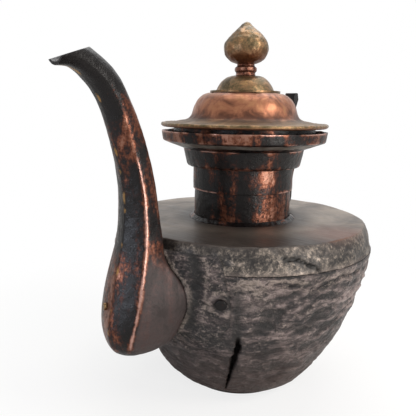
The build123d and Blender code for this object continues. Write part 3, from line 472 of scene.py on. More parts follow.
def bowl_relief(points, out):
    """Heights of the bowl's hammered, folded and split skin. Its inside follows the beaten sheet."""
    form = bpy.context.scene.ewer_form
    z = points[:, 2]
    angle = azimuth_of(points)
    facing = facing_out(points, out)
    outside = bump_at(facing, 0.05, 0.3) * bump_at(z, 2.5, 9.0) * (1 - bump_at(z, 107.0, 108.0))
    inside = bump_at(-facing, 0.05, 0.3)
    shift, folds, dents = skin_shift(points)
    grain = cloud(points, form.grain_width / MM, 11)
    height = form.grain_depth / MM * grain
    # A sharp fold under the torn rim, with the metal pushed up below it
    fold = near_line(angle, z + 0.7 * cloud(points, 9.0, 13), FOLD_LINE)
    height = height - 0.9 * hill(fold, 1.3) + 0.35 * hill(fold - 3.0, 1.6)
    # The open seam, widest in its middle
    seam = np.abs(near_line(angle, z, OPEN_SEAM, 78.0) + 0.4 * cloud(points, 8.0, 17))
    width = form.crack_width / MM * (0.4 + 0.6 * hill(z - 46.0, 15.0))
    crack = bump_at(-seam, -width, -0.55 * width) * bump_at(-z, -69.0, -61.0)
    height = height - form.crack_depth / MM * crack + 0.3 * hill(seam - 1.5 * width, 1.2)
    # Wavy ripples from the beating, strongest beside the flange
    bent = z + 5.5 * cloud(points, 26.0, 107) + 1.6 * cloud(points, 9.0, 109)
    ripples = np.sin(2 * np.pi * bent / 7.5)
    strong = bump_at(angle, 42.0, 52.0) * bump_at(z, 50.0, 72.0) * (1 - bump_at(z, 100.0, 106.0))
    height = height + form.ripple_depth / MM * (ripples - 1) * (0.3 + 0.7 * strong)
    # The relief also sets the colour's tone, so folds, the fold line and ripples come out lighter on crests
    # and darker in hollows: painted shading
    relief = (folds * 0.6 + dents * 0.35 + grain * 0.7 + strong * (1.15 * ripples + 0.5)
              - 1.6 * hill(fold, 1.5))
    # Lime crust beside the flange and under the rim, rubbed crests, and soot in the hollows
    crust = hill(angle - 42, 8) * bump_at(z, 55.0, 100.0) + 0.7 * bump_at(z, 98.0, 108.0)
    beside = bump_at(angle, 44.0, 50.0) * (1 - bump_at(angle, 88.0, 94.0))
    pale = (0.4 * hill(fold - 2.6, 1.3) * beside + 0.5 * crust * bump_at(cloud(points, 7.0, 15, 3), 0.0, 0.6)
            + 0.25 * bump_at(folds, 0.55, 1.0))
    dark = (hill(angle - 35.4, 2.2) * bump_at(z, 60.0, 68.0) * (1 - bump_at(z, 92.0, 106.0))
            + 0.6 * bump_at(-folds, 0.1, 0.8) + 0.5 * hill(seam, 6.0))
    # The skin stays in the solid's box high up, and never reaches through the sheet
    height = np.clip(height, -1.65, 0.15 * (1 - bump_at(z, 80.0, 95.0)))
    height = (height + shift) * outside - shift * inside
    return height, {"relief": relief * outside, "crack": crack * outside, "crust": crust * outside,
                    "pale": np.clip(pale, 0, 1) * outside, "dark": np.clip(dark, 0, 1) * outside}


def plate_relief(points, out):
    """Heights of the shoulder plate: nearly flat on top, torn and crusted on its rim."""
    z = points[:, 2]
    angle = azimuth_of(points)
    top = bump_at(out[:, 2], 0.3, 0.9)
    skirt = bump_at(facing_out(points, out), 0.2, 0.8)
    open_top = bump_at(np.hypot(points[:, 0], points[:, 1]), 62.0, 70.0)
    grain = cloud(points * (1, 1, 1.6), 5.5, 23, 3)
    wave = cloud(points, 22.0, 29)
    tear = near_line(angle, z + 0.8 * cloud(points, 4.0, 31), RIM_TEAR)
    slit = hill(tear, 1.1)
    lip = hill(tear - 2.0, 1.4) * bump_at(angle, 51.0, 54.0) * (1 - bump_at(angle, 66.0, 70.0))
    height = (top * open_top * 0.35 * (cloud(points, 30.0, 19) - 0.6)
              + skirt * (0.3 * grain + 0.45 * (wave - 0.9) - 0.95 * slit + 0.8 * lip))
    rim = bump_at(z, 120.5, 125.9) * skirt
    return height, {"relief": grain * skirt + 0.5 * wave - 1.8 * slit * skirt, "crack": slit * skirt,
                    "crust": np.clip(0.55 * skirt + 0.5 * rim, 0, 1), "top": top,
                    "low_edge": bump_at(-z, -113.0, -109.2) * skirt}


def beaten(depth, width, seed, top_only=False, bare=None):
    """A relief of soft hammer marks, of a depth and width in millimetres, with its bare copper."""
    def relief(points, out):
        shown = out[:, 2] if top_only else np.maximum(facing_out(points, out), out[:, 2])
        facing = bump_at(shown, 0.05, 0.5)
        marks = cloud(points, width, seed)
        fine = cloud(points, 0.3 * width, seed + 1)
        given = {"relief": facing * (0.7 * marks + 0.4 * fine)}
        if bare is not None:
            given["bare"] = np.clip(bare(azimuth_of(points), points[:, 2]), 0, 1)
        return facing * depth * (0.6 * marks + 0.3 * fine - 0.9), given
    return relief


def dull(relief):
    """The same relief, with no bare metal on its edges."""
    def plain(points, out):
        height, marks = relief(points, out)
        return height, {**marks, "edge": np.zeros(len(points))}
    return plain


def lining(within, above=0.0):
    """A test of which points of an outline are on the tinned inside, by their radius and height."""
    return lambda line: (line[:, 0] < within) & (line[:, 1] > above)


def vessel_outline(proud, step):
    """Outline of the whole vessel below the shoulder, grown by a skin."""
    side = set_in(smooth_line(SIDE, 90), -proud)
    heights = np.linspace(BELLY[1], SHOULDER[1], 14)[1:]
    arc = [(shoulder_at(z, -proud), z) for z in heights]
    corners = [(0.0, BASE_TOP + 6.0), *map(tuple, side), *arc, (0.0, SHOULDER[1])]
    return soften(corners, step)


def spout_ring(values, inset):
    """Points of one spout section, from the front ridge round by the +Y side, and ridge distances."""
    reach, height, lean, swell, half, front, depth, flank, back = values
    corners = np.array([(front, 0), (0, half), (-depth, flank), (-back, 0), (-depth, -flank), (0, -half)])
    run = np.roll(corners, -1, 0) - corners
    length = np.linalg.norm(run, axis=1)
    inward = np.stack([-run[:, 1], run[:, 0]], 1) / length[:, None]
    before = np.roll(inward, 1, 0)
    corners = corners + inset * (before + inward) / (1 + (before * inward).sum(1))[:, None]
    run = np.roll(corners, -1, 0) - corners
    length = np.linalg.norm(run, axis=1)
    bulge = swell * np.stack([run[:, 1], -run[:, 0]], 1)
    share = np.minimum(RIDGE_ROUNDING / length, 0.3)

    def on_side(side, t):
        t = np.asarray(t)[..., None]
        return corners[side] + t * run[side] + 4 * t * (1 - t) * bulge[side]

    parts = []
    for side in range(6):
        start, end = on_side(side - 1, 1 - share[side - 1]), on_side(side, share[side])
        t = np.linspace(0, 1, RIDGE_POINTS + 2)[1:-1, None]
        parts.append((1 - t) ** 2 * start + 2 * t * (1 - t) * corners[side] + t**2 * end)
        parts.append(on_side(side, np.linspace(share[side], 1 - share[side], SIDE_POINTS)))
    flat = np.roll(np.concatenate(parts), -(RIDGE_POINTS // 2), 0)
    tilt = math.radians(lean)
    out = np.array((math.cos(tilt), 0, -math.sin(tilt)))
    along = np.concatenate([[0], np.cumsum(np.linalg.norm(np.diff(flat, axis=0), axis=1))])
    whole = along[-1] + np.linalg.norm(flat[0] - flat[-1])
    apart = np.abs(along[:, None] - along[None, ::RIDGE_POINTS + SIDE_POINTS])
    return (np.array((reach, 0, height)) + flat[:, :1] * out + flat[:, 1:] * (0, 1, 0),
            np.minimum(apart, whole - apart))


def spout_rings(rings, inset):
    """All sections of the spout along its length, and each point's distances from the six ridges."""
    made = [spout_ring(values, inset) for values in smooth_line(STATIONS, rings)]
    return np.array([points for points, _ in made]), np.array([apart for _, apart in made])


def spout_shell(name, picked, rings, material, seed):
    """One formed sheet of the spout, with its outside, inside, two long edges and two ends."""
    depth = bpy.context.scene.ewer_form.spout_mark_depth / MM
    outer, apart = spout_rings(rings, 0.0)
    inner = spout_rings(rings, SPOUT_SHEET)[0]
    inner[0, :, 2] += SPOUT_SHEET
    outer, inner, apart = outer[:, picked], inner[:, picked], apart[:, picked]
    wide = len(picked)
    count = 2 * wide
    points = np.concatenate([outer, inner[:, ::-1]], 1).reshape(-1, 3)
    apart = np.concatenate([apart, apart[:, ::-1]], 1).reshape(-1, 6)
    out = (outer - inner) / np.linalg.norm(outer - inner, axis=2)[..., None]
    out = np.concatenate([out, out[:, ::-1]], 1).reshape(-1, 3)
    outside = np.tile(np.arange(count) < wide, rings)
    # Hammer marks fade on the ridges
    from_side = np.minimum(apart[:, 1], apart[:, 5])
    front = hill(apart[:, 0], 1.3)
    side = hill(from_side, 1.6)
    rear = hill(np.minimum(np.minimum(apart[:, 2], apart[:, 4]), apart[:, 3]), 1.6)
    ridge = np.clip(front + side + rear, 0, 1)
    broad = cloud(points * (1, 1, 0.7), 21.0, seed)
    small = cloud(points, 6.0, seed + 3)
    height = outside * depth * (0.5 * broad + 0.25 * small - 0.8) * (1 - 0.6 * ridge)
    points = points + out * height[:, None]
    i, j = np.meshgrid(np.arange(rings - 1), np.arange(count), indexing="ij")
    k = (j + 1) % count
    faces = np.stack([i * count + j, i * count + k, (i + 1) * count + k, (i + 1) * count + j], -1)
    faces = faces.reshape(-1, 4).tolist()
    top = (rings - 1) * count
    for j in range(wide - 1):
        far = count - 1 - j
        faces.append((j + 1, j, far, far - 1))
        faces.append((top + j, top + j + 1, top + far - 1, top + far))
    # The rear sheet's pouch keeps its satin film, lightened as a painted reflection, and the hand rubs the
    # side ridges, whose rubbed line also carries a painted highlight
    z = points[:, 2]
    satin = bump_at(from_side, 0.5, 3.0) * (points[:, 0] < 124) * bump_at(-z, -128.0, -108.0)
    broken = np.clip(0.7 + 0.8 * cloud(points * (1, 1, 0.3), 7.0, seed + 5, 3), 0, 1)
    # The side ridges' mark runs from just above the pouch's foot to high on the stem, where the painted
    # highlight shows
    rubbed_and_lit_span = bump_at(z, 56.0, 68.0) * (1 - 0.75 * bump_at(z, 172.0, 200.0))
    edge = np.clip(rubbed_and_lit_span * side * (0.7 + 0.3 * broken) + 0.5 * rear * broken, 0, 1)
    marks = {"relief": 0.7 * broad + 0.5 * small, "edge": edge,
             "bare": 0.2 * (z < 200) - 0.8 * bump_at(z, 208.0, 224.0),
             "front": front * np.clip(0.35 + 1.1 * cloud(points, 8.0, seed + 7), 0, 1),
             "satin": satin * (name == "spout_back")}
    return skin(name, points, faces, {mark: outside * values for mark, values in marks.items()},
                [material], smooth_angle=50)


def spout_form(name, rings):
    """The spout's outside as one closed body, to cut other pieces with."""
    points = spout_rings(rings, 0.0)[0]
    wide = points.shape[1]
    faces = [(i * wide + j, i * wide + (j + 1) % wide, (i + 1) * wide + (j + 1) % wide, (i + 1) * wide + j)
             for i in range(rings - 1) for j in range(wide)]
    faces += [tuple(range(wide - 1, -1, -1)), tuple(range((rings - 1) * wide, rings * wide))]
    return skin(name, points.reshape(-1, 3), faces, {}, [])


def spout_root(heights):
    """Half width of the spout where it meets the bowl's skin, at each height."""
    line = smooth_line(STATIONS[:10], 160)
    skin_at, found = flank_radius(line[:, 1]), []
    for values, radius in zip(line, skin_at):
        ring = spout_ring(values, 0.0)[0]
        beyond = np.abs(np.hypot(ring[:, 0], ring[:, 1]) - radius)
        beyond = np.where(ring[:, 0] > 60, beyond, 1e9)
        found.append(abs(ring[np.argmin(beyond), 1]) if beyond.min() < 2.0 else 0.0)
    return np.interp(heights, line[:, 1], found)


def flank_radius(heights):
    """Radius of the vessel's outside at each height."""
    side = smooth_line(SIDE, 300)
    low = np.interp(heights, side[:, 1], side[:, 0])
    return np.where(heights > BELLY[1], shoulder_at(np.clip(heights, BELLY[1], SHOULDER[1])), low)


def flange_marks(base, degrees, share, from_root):
    """Heights of the folded flange in millimetres, and its marks, from each point's place on it."""
    z = base[:, 2]
    fold = hill(from_root - 2.4, 2.0) * bump_at(z, 58.0, 66.0)
    # A valley runs down beside the root, with a crest on its far side. The valley's darkness is painted
    # shade, and the crest and the fold are painted pale as highlights
    down = np.interp(z, *zip(*FLANGE_VALLEY))
    valley = hill(degrees - down - 0.5 * cloud(base, 12.0, 91), 2.1) * bump_at(z, 62.0, 76.0)
    crest = hill(degrees - down - 4.2 - 0.4 * cloud(base, 9.0, 99), 1.0) * bump_at(z, 68.0, 80.0)
    # A raised ring round the rivet, painted pale as a highlight with painted shade in the dimple inside it,
    # and bark like ridges round that
    rivet = np.hypot((degrees - FLANGE_RIVET[0]) * np.pi / 180 * 92, z - FLANGE_RIVET[1])
    ring = hill(rivet - 7.4 - 0.6 * cloud(base, 5.0, 93), 1.5)
    bark = np.sin(1.25 * rivet + 2.2 * cloud(base * (1, 1, 0.6), 13.0, 95)) * bump_at(rivet, 6.0, 11.0)
    rough = cloud(base, 4.5, 97, 3)
    # A thin painted shadow darkens the sheet's very edge, and a painted highlight line runs just inside it
    edge = bump_at(1 - share, 0.0, 0.045)
    rim_highlight_line = hill(1 - share - 0.06, 0.018) * bump_at(cloud(base, 9.0, 103), -0.4, 0.5)
    level = 0.78 + 0.5 * fold - 0.66 * valley + 0.28 * crest + 0.4 * ring + 0.08 * bark + 0.14 * rough
    level = np.clip(level, 0.12, 1.36) * (0.35 + 0.65 * edge)
    relief = 0.8 * rough + 0.45 * bark + 1.0 * ring - 2.0 * valley + 0.6 * fold + 0.5 * crest - 0.7
    pale = 0.9 * fold + 0.55 * ring + 0.5 * crest + 0.45 * rim_highlight_line
    dark = valley + np.exp(-((rivet / 5.8) ** 4)) + 0.9 * (1 - edge)
    return level, {"relief": relief, "pale": np.clip(pale, 0, 1), "dark": np.clip(dark, 0, 1),
                   "crust": np.full(len(z), 0.6)}


def flange_sheet(name, material):
    """The flange as a sheet beaten down on the bowl's skin, folded along the spout's root."""
    turns, steps = 360, 70
    angle = np.linspace(0, 2 * np.pi, turns, endpoint=False)
    wave = cloud(np.stack([9 * np.cos(angle), 9 * np.sin(angle), np.zeros(turns)], 1), 5.0, 37, 3)
    rising = np.maximum(np.sin(angle), 0.02)
    top = (FLANGE_TOP - FLANGE_HEIGHT) / (FLANGE_HALF[1] * rising)
    far = np.minimum(np.where(np.sin(angle) > 0.02, top, 9.0), 0.962 + 0.03 * np.clip(wave, -1, 1))
    share = np.linspace(0.16, 1, steps)
    rho = (far[:, None] * share[None]).reshape(-1)
    turn = np.repeat(angle, steps)
    y = FLANGE_HALF[0] * rho * np.cos(turn)
    z = FLANGE_HEIGHT + FLANGE_HALF[1] * rho * np.sin(turn)
    radius = flank_radius(z)
    grow = np.sqrt(1 + (flank_radius(z + 0.5) - flank_radius(z - 0.5)) ** 2)
    azimuth = np.arcsin(np.clip(y / (radius + FLANGE_SHEET), -1, 1))
    base = np.stack([radius * np.cos(azimuth), radius * np.sin(azimuth), z], 1)
    shift = skin_shift(base)[0]
    level, marks = flange_marks(base, np.degrees(np.abs(azimuth)), np.tile(share, turns),
                                np.abs(y) - spout_root(z))
    layers = []
    for rise in (level, -FLANGE_SUNK):
        layer = base.copy()
        layer[:, :2] *= ((radius + (shift + rise) * grow) / radius)[:, None]
        layers.append(layer)
    size = turns * steps
    i, j = np.meshgrid(np.arange(turns), np.arange(steps - 1), indexing="ij")
    start, ahead = i * steps + j, (i + 1) % turns * steps + j
    outer = np.stack([start, start + 1, ahead + 1, ahead], -1).reshape(-1, 4)
    faces = [outer, size + outer[:, ::-1]]
    for row in (0, steps - 1):
        start = np.arange(turns) * steps + row
        ahead = np.roll(start, -1)
        band = np.stack([start, ahead, size + ahead, size + start], -1)
        faces.append(band if row == 0 else band[:, ::-1])
    marks = {mark: np.tile(values, 2) for mark, values in marks.items()}
    return skin(name, np.concatenate(layers), np.concatenate(faces).tolist(), marks, [material],
                smooth_angle=60)


def metal(name):
    """Turns a function that gives the shader's sockets into one that gives the material.

    The material is made on its first use, and found by its name after that.
    """
    def wrap(sockets):
        @functools.wraps(sockets)
        def found():
            material = bpy.data.materials.get(name)
            if material is None:
                material = bpy.data.materials.new(name)
                node = emptied(material)
                here = node("ShaderNodeTexCoord", out="Object")
                made = sockets(node, here, bpy.context.scene.ewer_colours)
                shader = node("ShaderNodeBsdfPrincipled", inputs=made)
                node("ShaderNodeOutputMaterial", inputs={"Surface": shader})
            return material
        return found
    return wrap


class EwerForm(bpy.types.PropertyGroup):
    """Sizes of the hand work that a user would change."""

    fold_depth: bpy.props.FloatProperty(
        name="Fold depth", description="Depth of the long folds in the bowl's skin",
        default=1.1 * MM, min=0, unit="LENGTH")
    fold_width: bpy.props.FloatProperty(
        name="Fold width", description="Width of the long folds",
        default=24 * MM, min=MM, unit="LENGTH")
    dent_depth: bpy.props.FloatProperty(
        name="Dent depth", description="Depth of the broad dents in the bowl",
        default=1.3 * MM, min=0, unit="LENGTH")
    dent_width: bpy.props.FloatProperty(
        name="Dent width", description="Width of the broad dents in the bowl",
        default=38 * MM, min=MM, unit="LENGTH")
    grain_depth: bpy.props.FloatProperty(
        name="Grain depth", description="Depth of the small pits left by the hammer",
        default=0.16 * MM, min=0, unit="LENGTH")
    grain_width: bpy.props.FloatProperty(
        name="Grain width", description="Width of the small pits left by the hammer",
        default=4.5 * MM, min=MM, unit="LENGTH")
    ripple_depth: bpy.props.FloatProperty(
        name="Ripple depth", description="Depth of the wavy ripples round the bowl",
        default=0.3 * MM, min=0, unit="LENGTH")
    crack_depth: bpy.props.FloatProperty(
        name="Seam depth", description="Depth of the open seam low on the bowl",
        default=1.6 * MM, min=0, unit="LENGTH")
    crack_width: bpy.props.FloatProperty(
        name="Seam width", description="Half width of the open seam low on the bowl",
        default=2.9 * MM, min=0, unit="LENGTH")
    spout_mark_depth: bpy.props.FloatProperty(
        name="Spout marks", description="Depth of the hammer's marks on the spout",
        default=0.5 * MM, min=0, unit="LENGTH")
    edge_wear: bpy.props.FloatProperty(
        name="Worn edges", description="Width of the bevel on straight cut edges",
        default=0.35 * MM, min=0, unit="LENGTH")


class EwerColours(bpy.types.PropertyGroup):
    """Colours of the metals."""

    soot: bpy.props.FloatVectorProperty(
        name="Blackened copper", description="Darkest patina on the spout, neck and mouth",
        default=linear("#0e0b0b"), subtype="COLOR")
    brown: bpy.props.FloatVectorProperty(
        name="Brown patina", description="Thinner patina between the black and the bare copper",
        default=linear("#3a231d"), subtype="COLOR")
    copper: bpy.props.FloatVectorProperty(
        name="Rubbed copper", description="Bare copper on worn edges",
        default=linear("#835f50"), subtype="COLOR")
    bowl_dark: bpy.props.FloatVectorProperty(
        name="Bowl, dark", description="Hollows of the bowl's skin",
        default=linear("#151213"), subtype="COLOR")
    bowl_mid: bpy.props.FloatVectorProperty(
        name="Bowl, middle", description="Most of the bowl's skin",
        default=linear("#544947"), subtype="COLOR")
    bowl_light: bpy.props.FloatVectorProperty(
        name="Bowl, light", description="Rubbed crests and lime flecks on the bowl",
        default=linear("#96897f"), subtype="COLOR")
    plate: bpy.props.FloatVectorProperty(
        name="Shoulder plate", description="Worn tin on the shoulder plate",
        default=linear("#82776c"), subtype="COLOR")
    lid: bpy.props.FloatVectorProperty(
        name="Lid copper", description="Bare copper of the lid",
        default=linear("#8d5c44"), subtype="COLOR")
    brass: bpy.props.FloatVectorProperty(
        name="Brass", description="Yellow brass of the cap, finial and rim",
        default=linear("#866648"), subtype="COLOR")


class EwerStage(bpy.types.PropertyGroup):
    """Camera and light."""

    lens: bpy.props.FloatProperty(
        name="Lens", description="Focal length for a 36 mm square picture",
        default=43.6, min=1, subtype="NONE")
    pitch: bpy.props.FloatProperty(
        name="Look down", description="Angle of the view below the horizon",
        default=math.radians(11.18), subtype="ANGLE")
    roll: bpy.props.FloatProperty(
        name="Roll", description="How far the camera leans to its left",
        default=math.radians(0.9), subtype="ANGLE")
    floor: bpy.props.FloatVectorProperty(
        name="Floor", description="Colour of the pale floor",
        default=linear("#f4f3f1"), subtype="COLOR")


# Materials
@metal("blackened_raised_copper")
def blackened_copper(node, here, colours):
    """Hand raised copper, blackened by smoke and handling.

    The eye sees near black patina, broken by brown and by bare copper on ridges and rims, with a pale
    painted highlight along ridges and rims and a painted reflection lightening the pouch's flanks. The soot
    takes most of the sheet's gloss, so only lamps show in it.
    """
    edge, relief, front, satin, bare = (
        node("ShaderNodeAttribute", {"attribute_name": name}, out="Fac")
        for name in ("edge", "relief", "front", "satin", "bare"))
    # Patches run down the sheet, four times as long as they are wide
    drawn = node("ShaderNodeMapping", inputs={"Vector": here, "Scale": (1, 1, 0.25)})
    patch = node("ShaderNodeTexNoise", inputs={
        "Vector": drawn, "Scale": per_mm(15), "Detail": 7.0, "Roughness": 0.66, "Distortion": 0.5})
    speck = node("ShaderNodeTexNoise", inputs={
        "Vector": here, "Scale": per_mm(2.4), "Detail": 5.0, "Roughness": 0.72})
    worn = patch
    for value, part in ((speck, 0.5), (relief, 0.04)):
        worn = node("ShaderNodeMath", PART_ADDED, {0: value, 1: part, 2: worn})
    rubbed = worn
    for value, part in ((edge, 0.22), (bare, 0.15)):
        rubbed = node("ShaderNodeMath", PART_ADDED, {0: value, 1: part, 2: rubbed})
    colour = node("ShaderNodeValToRGB", inputs={0: rubbed}, stops=[
        (0.74, colours.soot), (0.80, "#1c1312"), (0.845, colours.brown), (0.91, "#623b2c"),
        (1.00, colours.copper)])
    # Ridges rubbed bright by the hand, with a pale pink painted highlight laid along them and along rims,
    # then brazing brass on the front ridge
    rubbed_and_highlit = node("ShaderNodeMath", PART_ADDED, {0: speck, 1: 0.5, 2: edge})
    brazed = node("ShaderNodeMath", PRODUCT, {0: front, 1: speck})
    for value, start, end, most, paint in ((rubbed_and_highlit, 0.85, 1.2, 0.9, "#b08b80"),
                                           (brazed, 0.16, 0.34, 0.8, "#8c6a3c")):
        cover = node("ShaderNodeMapRange", inputs={0: value, 1: start, 2: end, 4: most})
        colour = node("ShaderNodeMix", COLOURS_MIXED, {0: cover, 6: colour, 7: paint}, out=2)
    # The pouch's flanks keep an even, brown grey film, made lighter than the black as a painted reflection
    film_and_sheen = node("ShaderNodeValToRGB", inputs={0: worn}, stops=[(0.66, "#332c2b"), (0.92, "#4f4443")])
    cover = node("ShaderNodeMath", PRODUCT, {0: satin, 1: 0.9})
    colour = node("ShaderNodeMix", COLOURS_MIXED, {0: cover, 6: colour, 7: film_and_sheen}, out=2)
    shine = node("ShaderNodeMapRange", inputs={0: speck, 1: 0.3, 2: 0.7, 3: 0.22, 4: 0.42})
    # Hammer marks a few millimetres across and a skin of fine scratches and pits
    pits = node("ShaderNodeTexNoise", inputs={
        "Vector": here, "Scale": per_mm(1.1), "Detail": 4.0, "Roughness": 0.6})
    marks = node("ShaderNodeTexNoise", inputs={"Vector": here, "Scale": per_mm(8), "Detail": 3.0})
    height = node("ShaderNodeMath", PART_ADDED, {0: marks, 1: 4.0, 2: pits})
    return {
        "Base Color": colour,
        "Metallic": node("ShaderNodeMapRange", inputs={0: rubbed, 1: 0.76, 2: 0.92, 4: 0.85}),
        "Roughness": node("ShaderNodeMath", PART_ADDED, {0: satin, 1: 0.2, 2: shine}),
        "Specular IOR Level": 0.2,
        "Normal": node("ShaderNodeBump", inputs={"Strength": 0.6, "Distance": 0.35 * MM, "Height": height})}


@metal("weathered_hammered_copper")
def weathered_copper(node, here, colours):
    """Thick hammered copper, weathered for decades.

    The eye sees dull grey brown with pale flecks on the crests, dark hollows and red brown low down. Part of
    the dark and pale is painted light and shade: bands that follow the relief and ripples, the flange's
    valley, fold and edge, and the darker foot.
    """
    relief, crack, crust, pale, dark = (
        node("ShaderNodeAttribute", {"attribute_name": name}, out="Fac")
        for name in ("relief", "crack", "crust", "pale", "dark"))
    flat = node("ShaderNodeMapping", inputs={"Vector": here, "Scale": (1, 1, 2.1)})
    patch = node("ShaderNodeTexNoise", inputs={
        "Vector": flat, "Scale": per_mm(30), "Detail": 4.0, "Roughness": 0.55, "Distortion": 1.2})
    grain = node("ShaderNodeTexNoise", inputs={
        "Vector": flat, "Scale": per_mm(5.5), "Detail": 8.0, "Roughness": 0.72, "Distortion": 0.8})
    # Flecks of lime and bare metal, little more than a millimetre across
    fleck = node("ShaderNodeTexNoise", inputs={
        "Vector": here, "Scale": per_mm(1.3), "Detail": 4.0, "Roughness": 0.7})
    # Ripples run round the bowl, about fourteen millimetres apart, bent by the hammering. Their bands also
    # shade the colour, as painted light and shade
    ripple = node("ShaderNodeTexWave", {"bands_direction": "Z"}, {
        "Vector": here, "Scale": WAVE_PERIOD * per_mm(13.82), "Distortion": 9.0, "Detail": 3.0,
        "Detail Scale": 0.55}, out="Fac")
    # The relief and the ripples lighten and darken the tone with the skin's forms: painted shading
    tone = patch
    for value, part in ((relief, 0.10), (grain, 1.5), (ripple, 0.09), (crust, 0.05)):
        tone = node("ShaderNodeMath", PART_ADDED, {0: value, 1: part, 2: tone})
    tone = node("ShaderNodeMapRange", inputs={0: tone, 1: 1.06, 2: 1.68})
    colour = node("ShaderNodeValToRGB", inputs={0: tone}, stops=[
        (0.10, colours.bowl_dark), (0.34, "#322b2b"), (0.60, colours.bowl_mid), (0.92, "#7e706d")])
    flecked = fleck
    for value, part in ((grain, 0.8), (crust, 0.06), (pale, 0.16)):
        flecked = node("ShaderNodeMath", PART_ADDED, {0: value, 1: part, 2: flecked})
    limed = node("ShaderNodeMath", PRODUCT, {0: pale, 1: grain})
    height = node("ShaderNodeSeparateXYZ", inputs={0: here}, out=2)
    low = node("ShaderNodeMath", PART_ADDED, {0: patch, 1: -0.03, 2: height})
    # Flecks, lime, sooty hollows together with painted shade on the flange, the redder foot that stood nearer
    # the fire, darkened there as painted shade too, and the open seam
    for value, start, end, most, paint in (
            (flecked, 0.98, 1.2, 0.7, colours.bowl_light), (limed, 0.12, 0.62, 0.6, "#8a7d73"),
            (dark, 0.0, 1.0, 0.85, "#151312"), (low, 0.052, -0.012, 0.9, "#32201a"),
            (crack, 0.0, 1.0, 1.0, "#050404")):
        cover = node("ShaderNodeMapRange", inputs={0: value, 1: start, 2: end, 4: most})
        colour = node("ShaderNodeMix", COLOURS_MIXED, {0: cover, 6: colour, 7: paint}, out=2)
    rough = fleck
    for value, part in ((grain, 2.6), (ripple, 1.0)):
        rough = node("ShaderNodeMath", PART_ADDED, {0: value, 1: part, 2: rough})
    return {
        "Base Color": colour,
        "Metallic": 0.25,
        "Roughness": node("ShaderNodeMapRange", inputs={0: grain, 1: 0.3, 2: 0.7, 3: 0.60, 4: 0.38}),
        "Specular IOR Level": node("ShaderNodeMapRange", inputs={0: crack, 3: 0.5, 4: 0.0}),
        "Normal": node("ShaderNodeBump", inputs={"Strength": 1.0, "Distance": 0.7 * MM, "Height": rough})}


@metal("scoured_tinned_copper")
def worn_tin(node, here, colours):
    """Copper sheet with worn tin on it, planished flat and scoured.

    The eye sees satin grey with fine scour marks, darker at the front rim, with a painted shadow ringing the
    neck's foot, and red where it wore through.
    """
    top, crust, crack, relief, low_edge = (
        node("ShaderNodeAttribute", {"attribute_name": name}, out="Fac")
        for name in ("top", "crust", "crack", "relief", "low_edge"))
    patch = node("ShaderNodeTexNoise", inputs={
        "Vector": here, "Scale": per_mm(34), "Detail": 5.0, "Roughness": 0.6, "Distortion": 0.5})
    # Scour marks run square to the spout, eight times as long as wide. The turn comes after the
    # scale, so it only picks another part of the noise
    drawn = node("ShaderNodeMapping", inputs={
        "Vector": here, "Rotation": (0, 0, math.radians(-38)), "Scale": (1, 0.12, 1)})
    scour = node("ShaderNodeTexNoise", inputs={
        "Vector": drawn, "Scale": per_mm(2.2), "Detail": 4.0, "Roughness": 0.6})
    grain = node("ShaderNodeTexNoise", inputs={
        "Vector": here, "Scale": per_mm(2.2), "Detail": 6.0, "Roughness": 0.72, "Distortion": 0.6})
    tone = node("ShaderNodeMath", PART_ADDED, {0: scour, 1: 0.25, 2: patch})
    worn = node("ShaderNodeValToRGB", inputs={0: tone}, stops=[
        (0.42, "#463f39"), (0.58, "#6a6057"), (0.70, colours.plate), (0.82, "#9a8e81")])
    # How far forward a point lies, how far from the neck, whose foot gets a dark ring of painted shadow, and
    # how far from where the tin has gone
    split = node("ShaderNodeSeparateXYZ", inputs={0: here}).node.outputs
    fore = node("ShaderNodeMath", PART_ADDED, {0: split[1], 1: 0.8, 2: split[0]})
    level = node("ShaderNodeCombineXYZ", inputs={0: split[0], 1: split[1]})
    from_neck = node("ShaderNodeVectorMath", {"operation": "LENGTH"}, {0: level}, out="Value")
    from_stain = node("ShaderNodeVectorMath", {"operation": "DISTANCE"}, {
        0: here, 1: TIN_GONE}, out="Value")
    for value, blur, part, start, end, most, paint in (
            (fore, patch, 0.04, 0.075, 0.112, 0.85, "#29211e"),
            (from_neck, patch, -0.03, 0.042, 0.028, 0.8, "#2b2523"),
            (from_stain, grain, -0.03, 0.016, -0.008, 0.6, "#6e4433")):
        value = node("ShaderNodeMath", PART_ADDED, {0: blur, 1: part, 2: value})
        cover = node("ShaderNodeMapRange", inputs={0: value, 1: start, 2: end, 4: most})
        worn = node("ShaderNodeMix", COLOURS_MIXED, {0: cover, 6: worn, 7: paint}, out=2)
    # The turned down rim is crusted, with thinner crust along its lower edge
    crusty_tone = node("ShaderNodeMath", PART_ADDED, {0: relief, 1: 0.07, 2: grain})
    crusty = node("ShaderNodeValToRGB", inputs={0: crusty_tone}, stops=[
        (0.40, "#1e1b1a"), (0.52, "#3f3a36"), (0.62, "#6a6158"), (0.72, colours.bowl_light)])
    thin = node("ShaderNodeMath", PRODUCT, {0: low_edge, 1: 0.3})
    crusty = node("ShaderNodeMix", COLOURS_MIXED, {0: thin, 6: crusty, 7: "#7c6f68"}, out=2)
    colour = node("ShaderNodeMix", COLOURS_MIXED, {0: top, 6: crusty, 7: worn}, out=2)
    colour = node("ShaderNodeMix", COLOURS_MIXED, {0: crack, 6: colour, 7: "#0e0c0b"}, out=2)
    rough = node("ShaderNodeMath", PRODUCT, {0: crust, 1: grain})
    rough = node("ShaderNodeMath", PART_ADDED, {0: scour, 1: 0.25, 2: rough})
    return {
        "Base Color": colour,
        "Metallic": 0.45,
        "Roughness": node("ShaderNodeMapRange", inputs={0: scour, 1: 0.3, 2: 0.7, 3: 0.36, 4: 0.52}),
        "Normal": node("ShaderNodeBump", inputs={"Strength": 0.6, "Distance": 0.6 * MM, "Height": rough})}


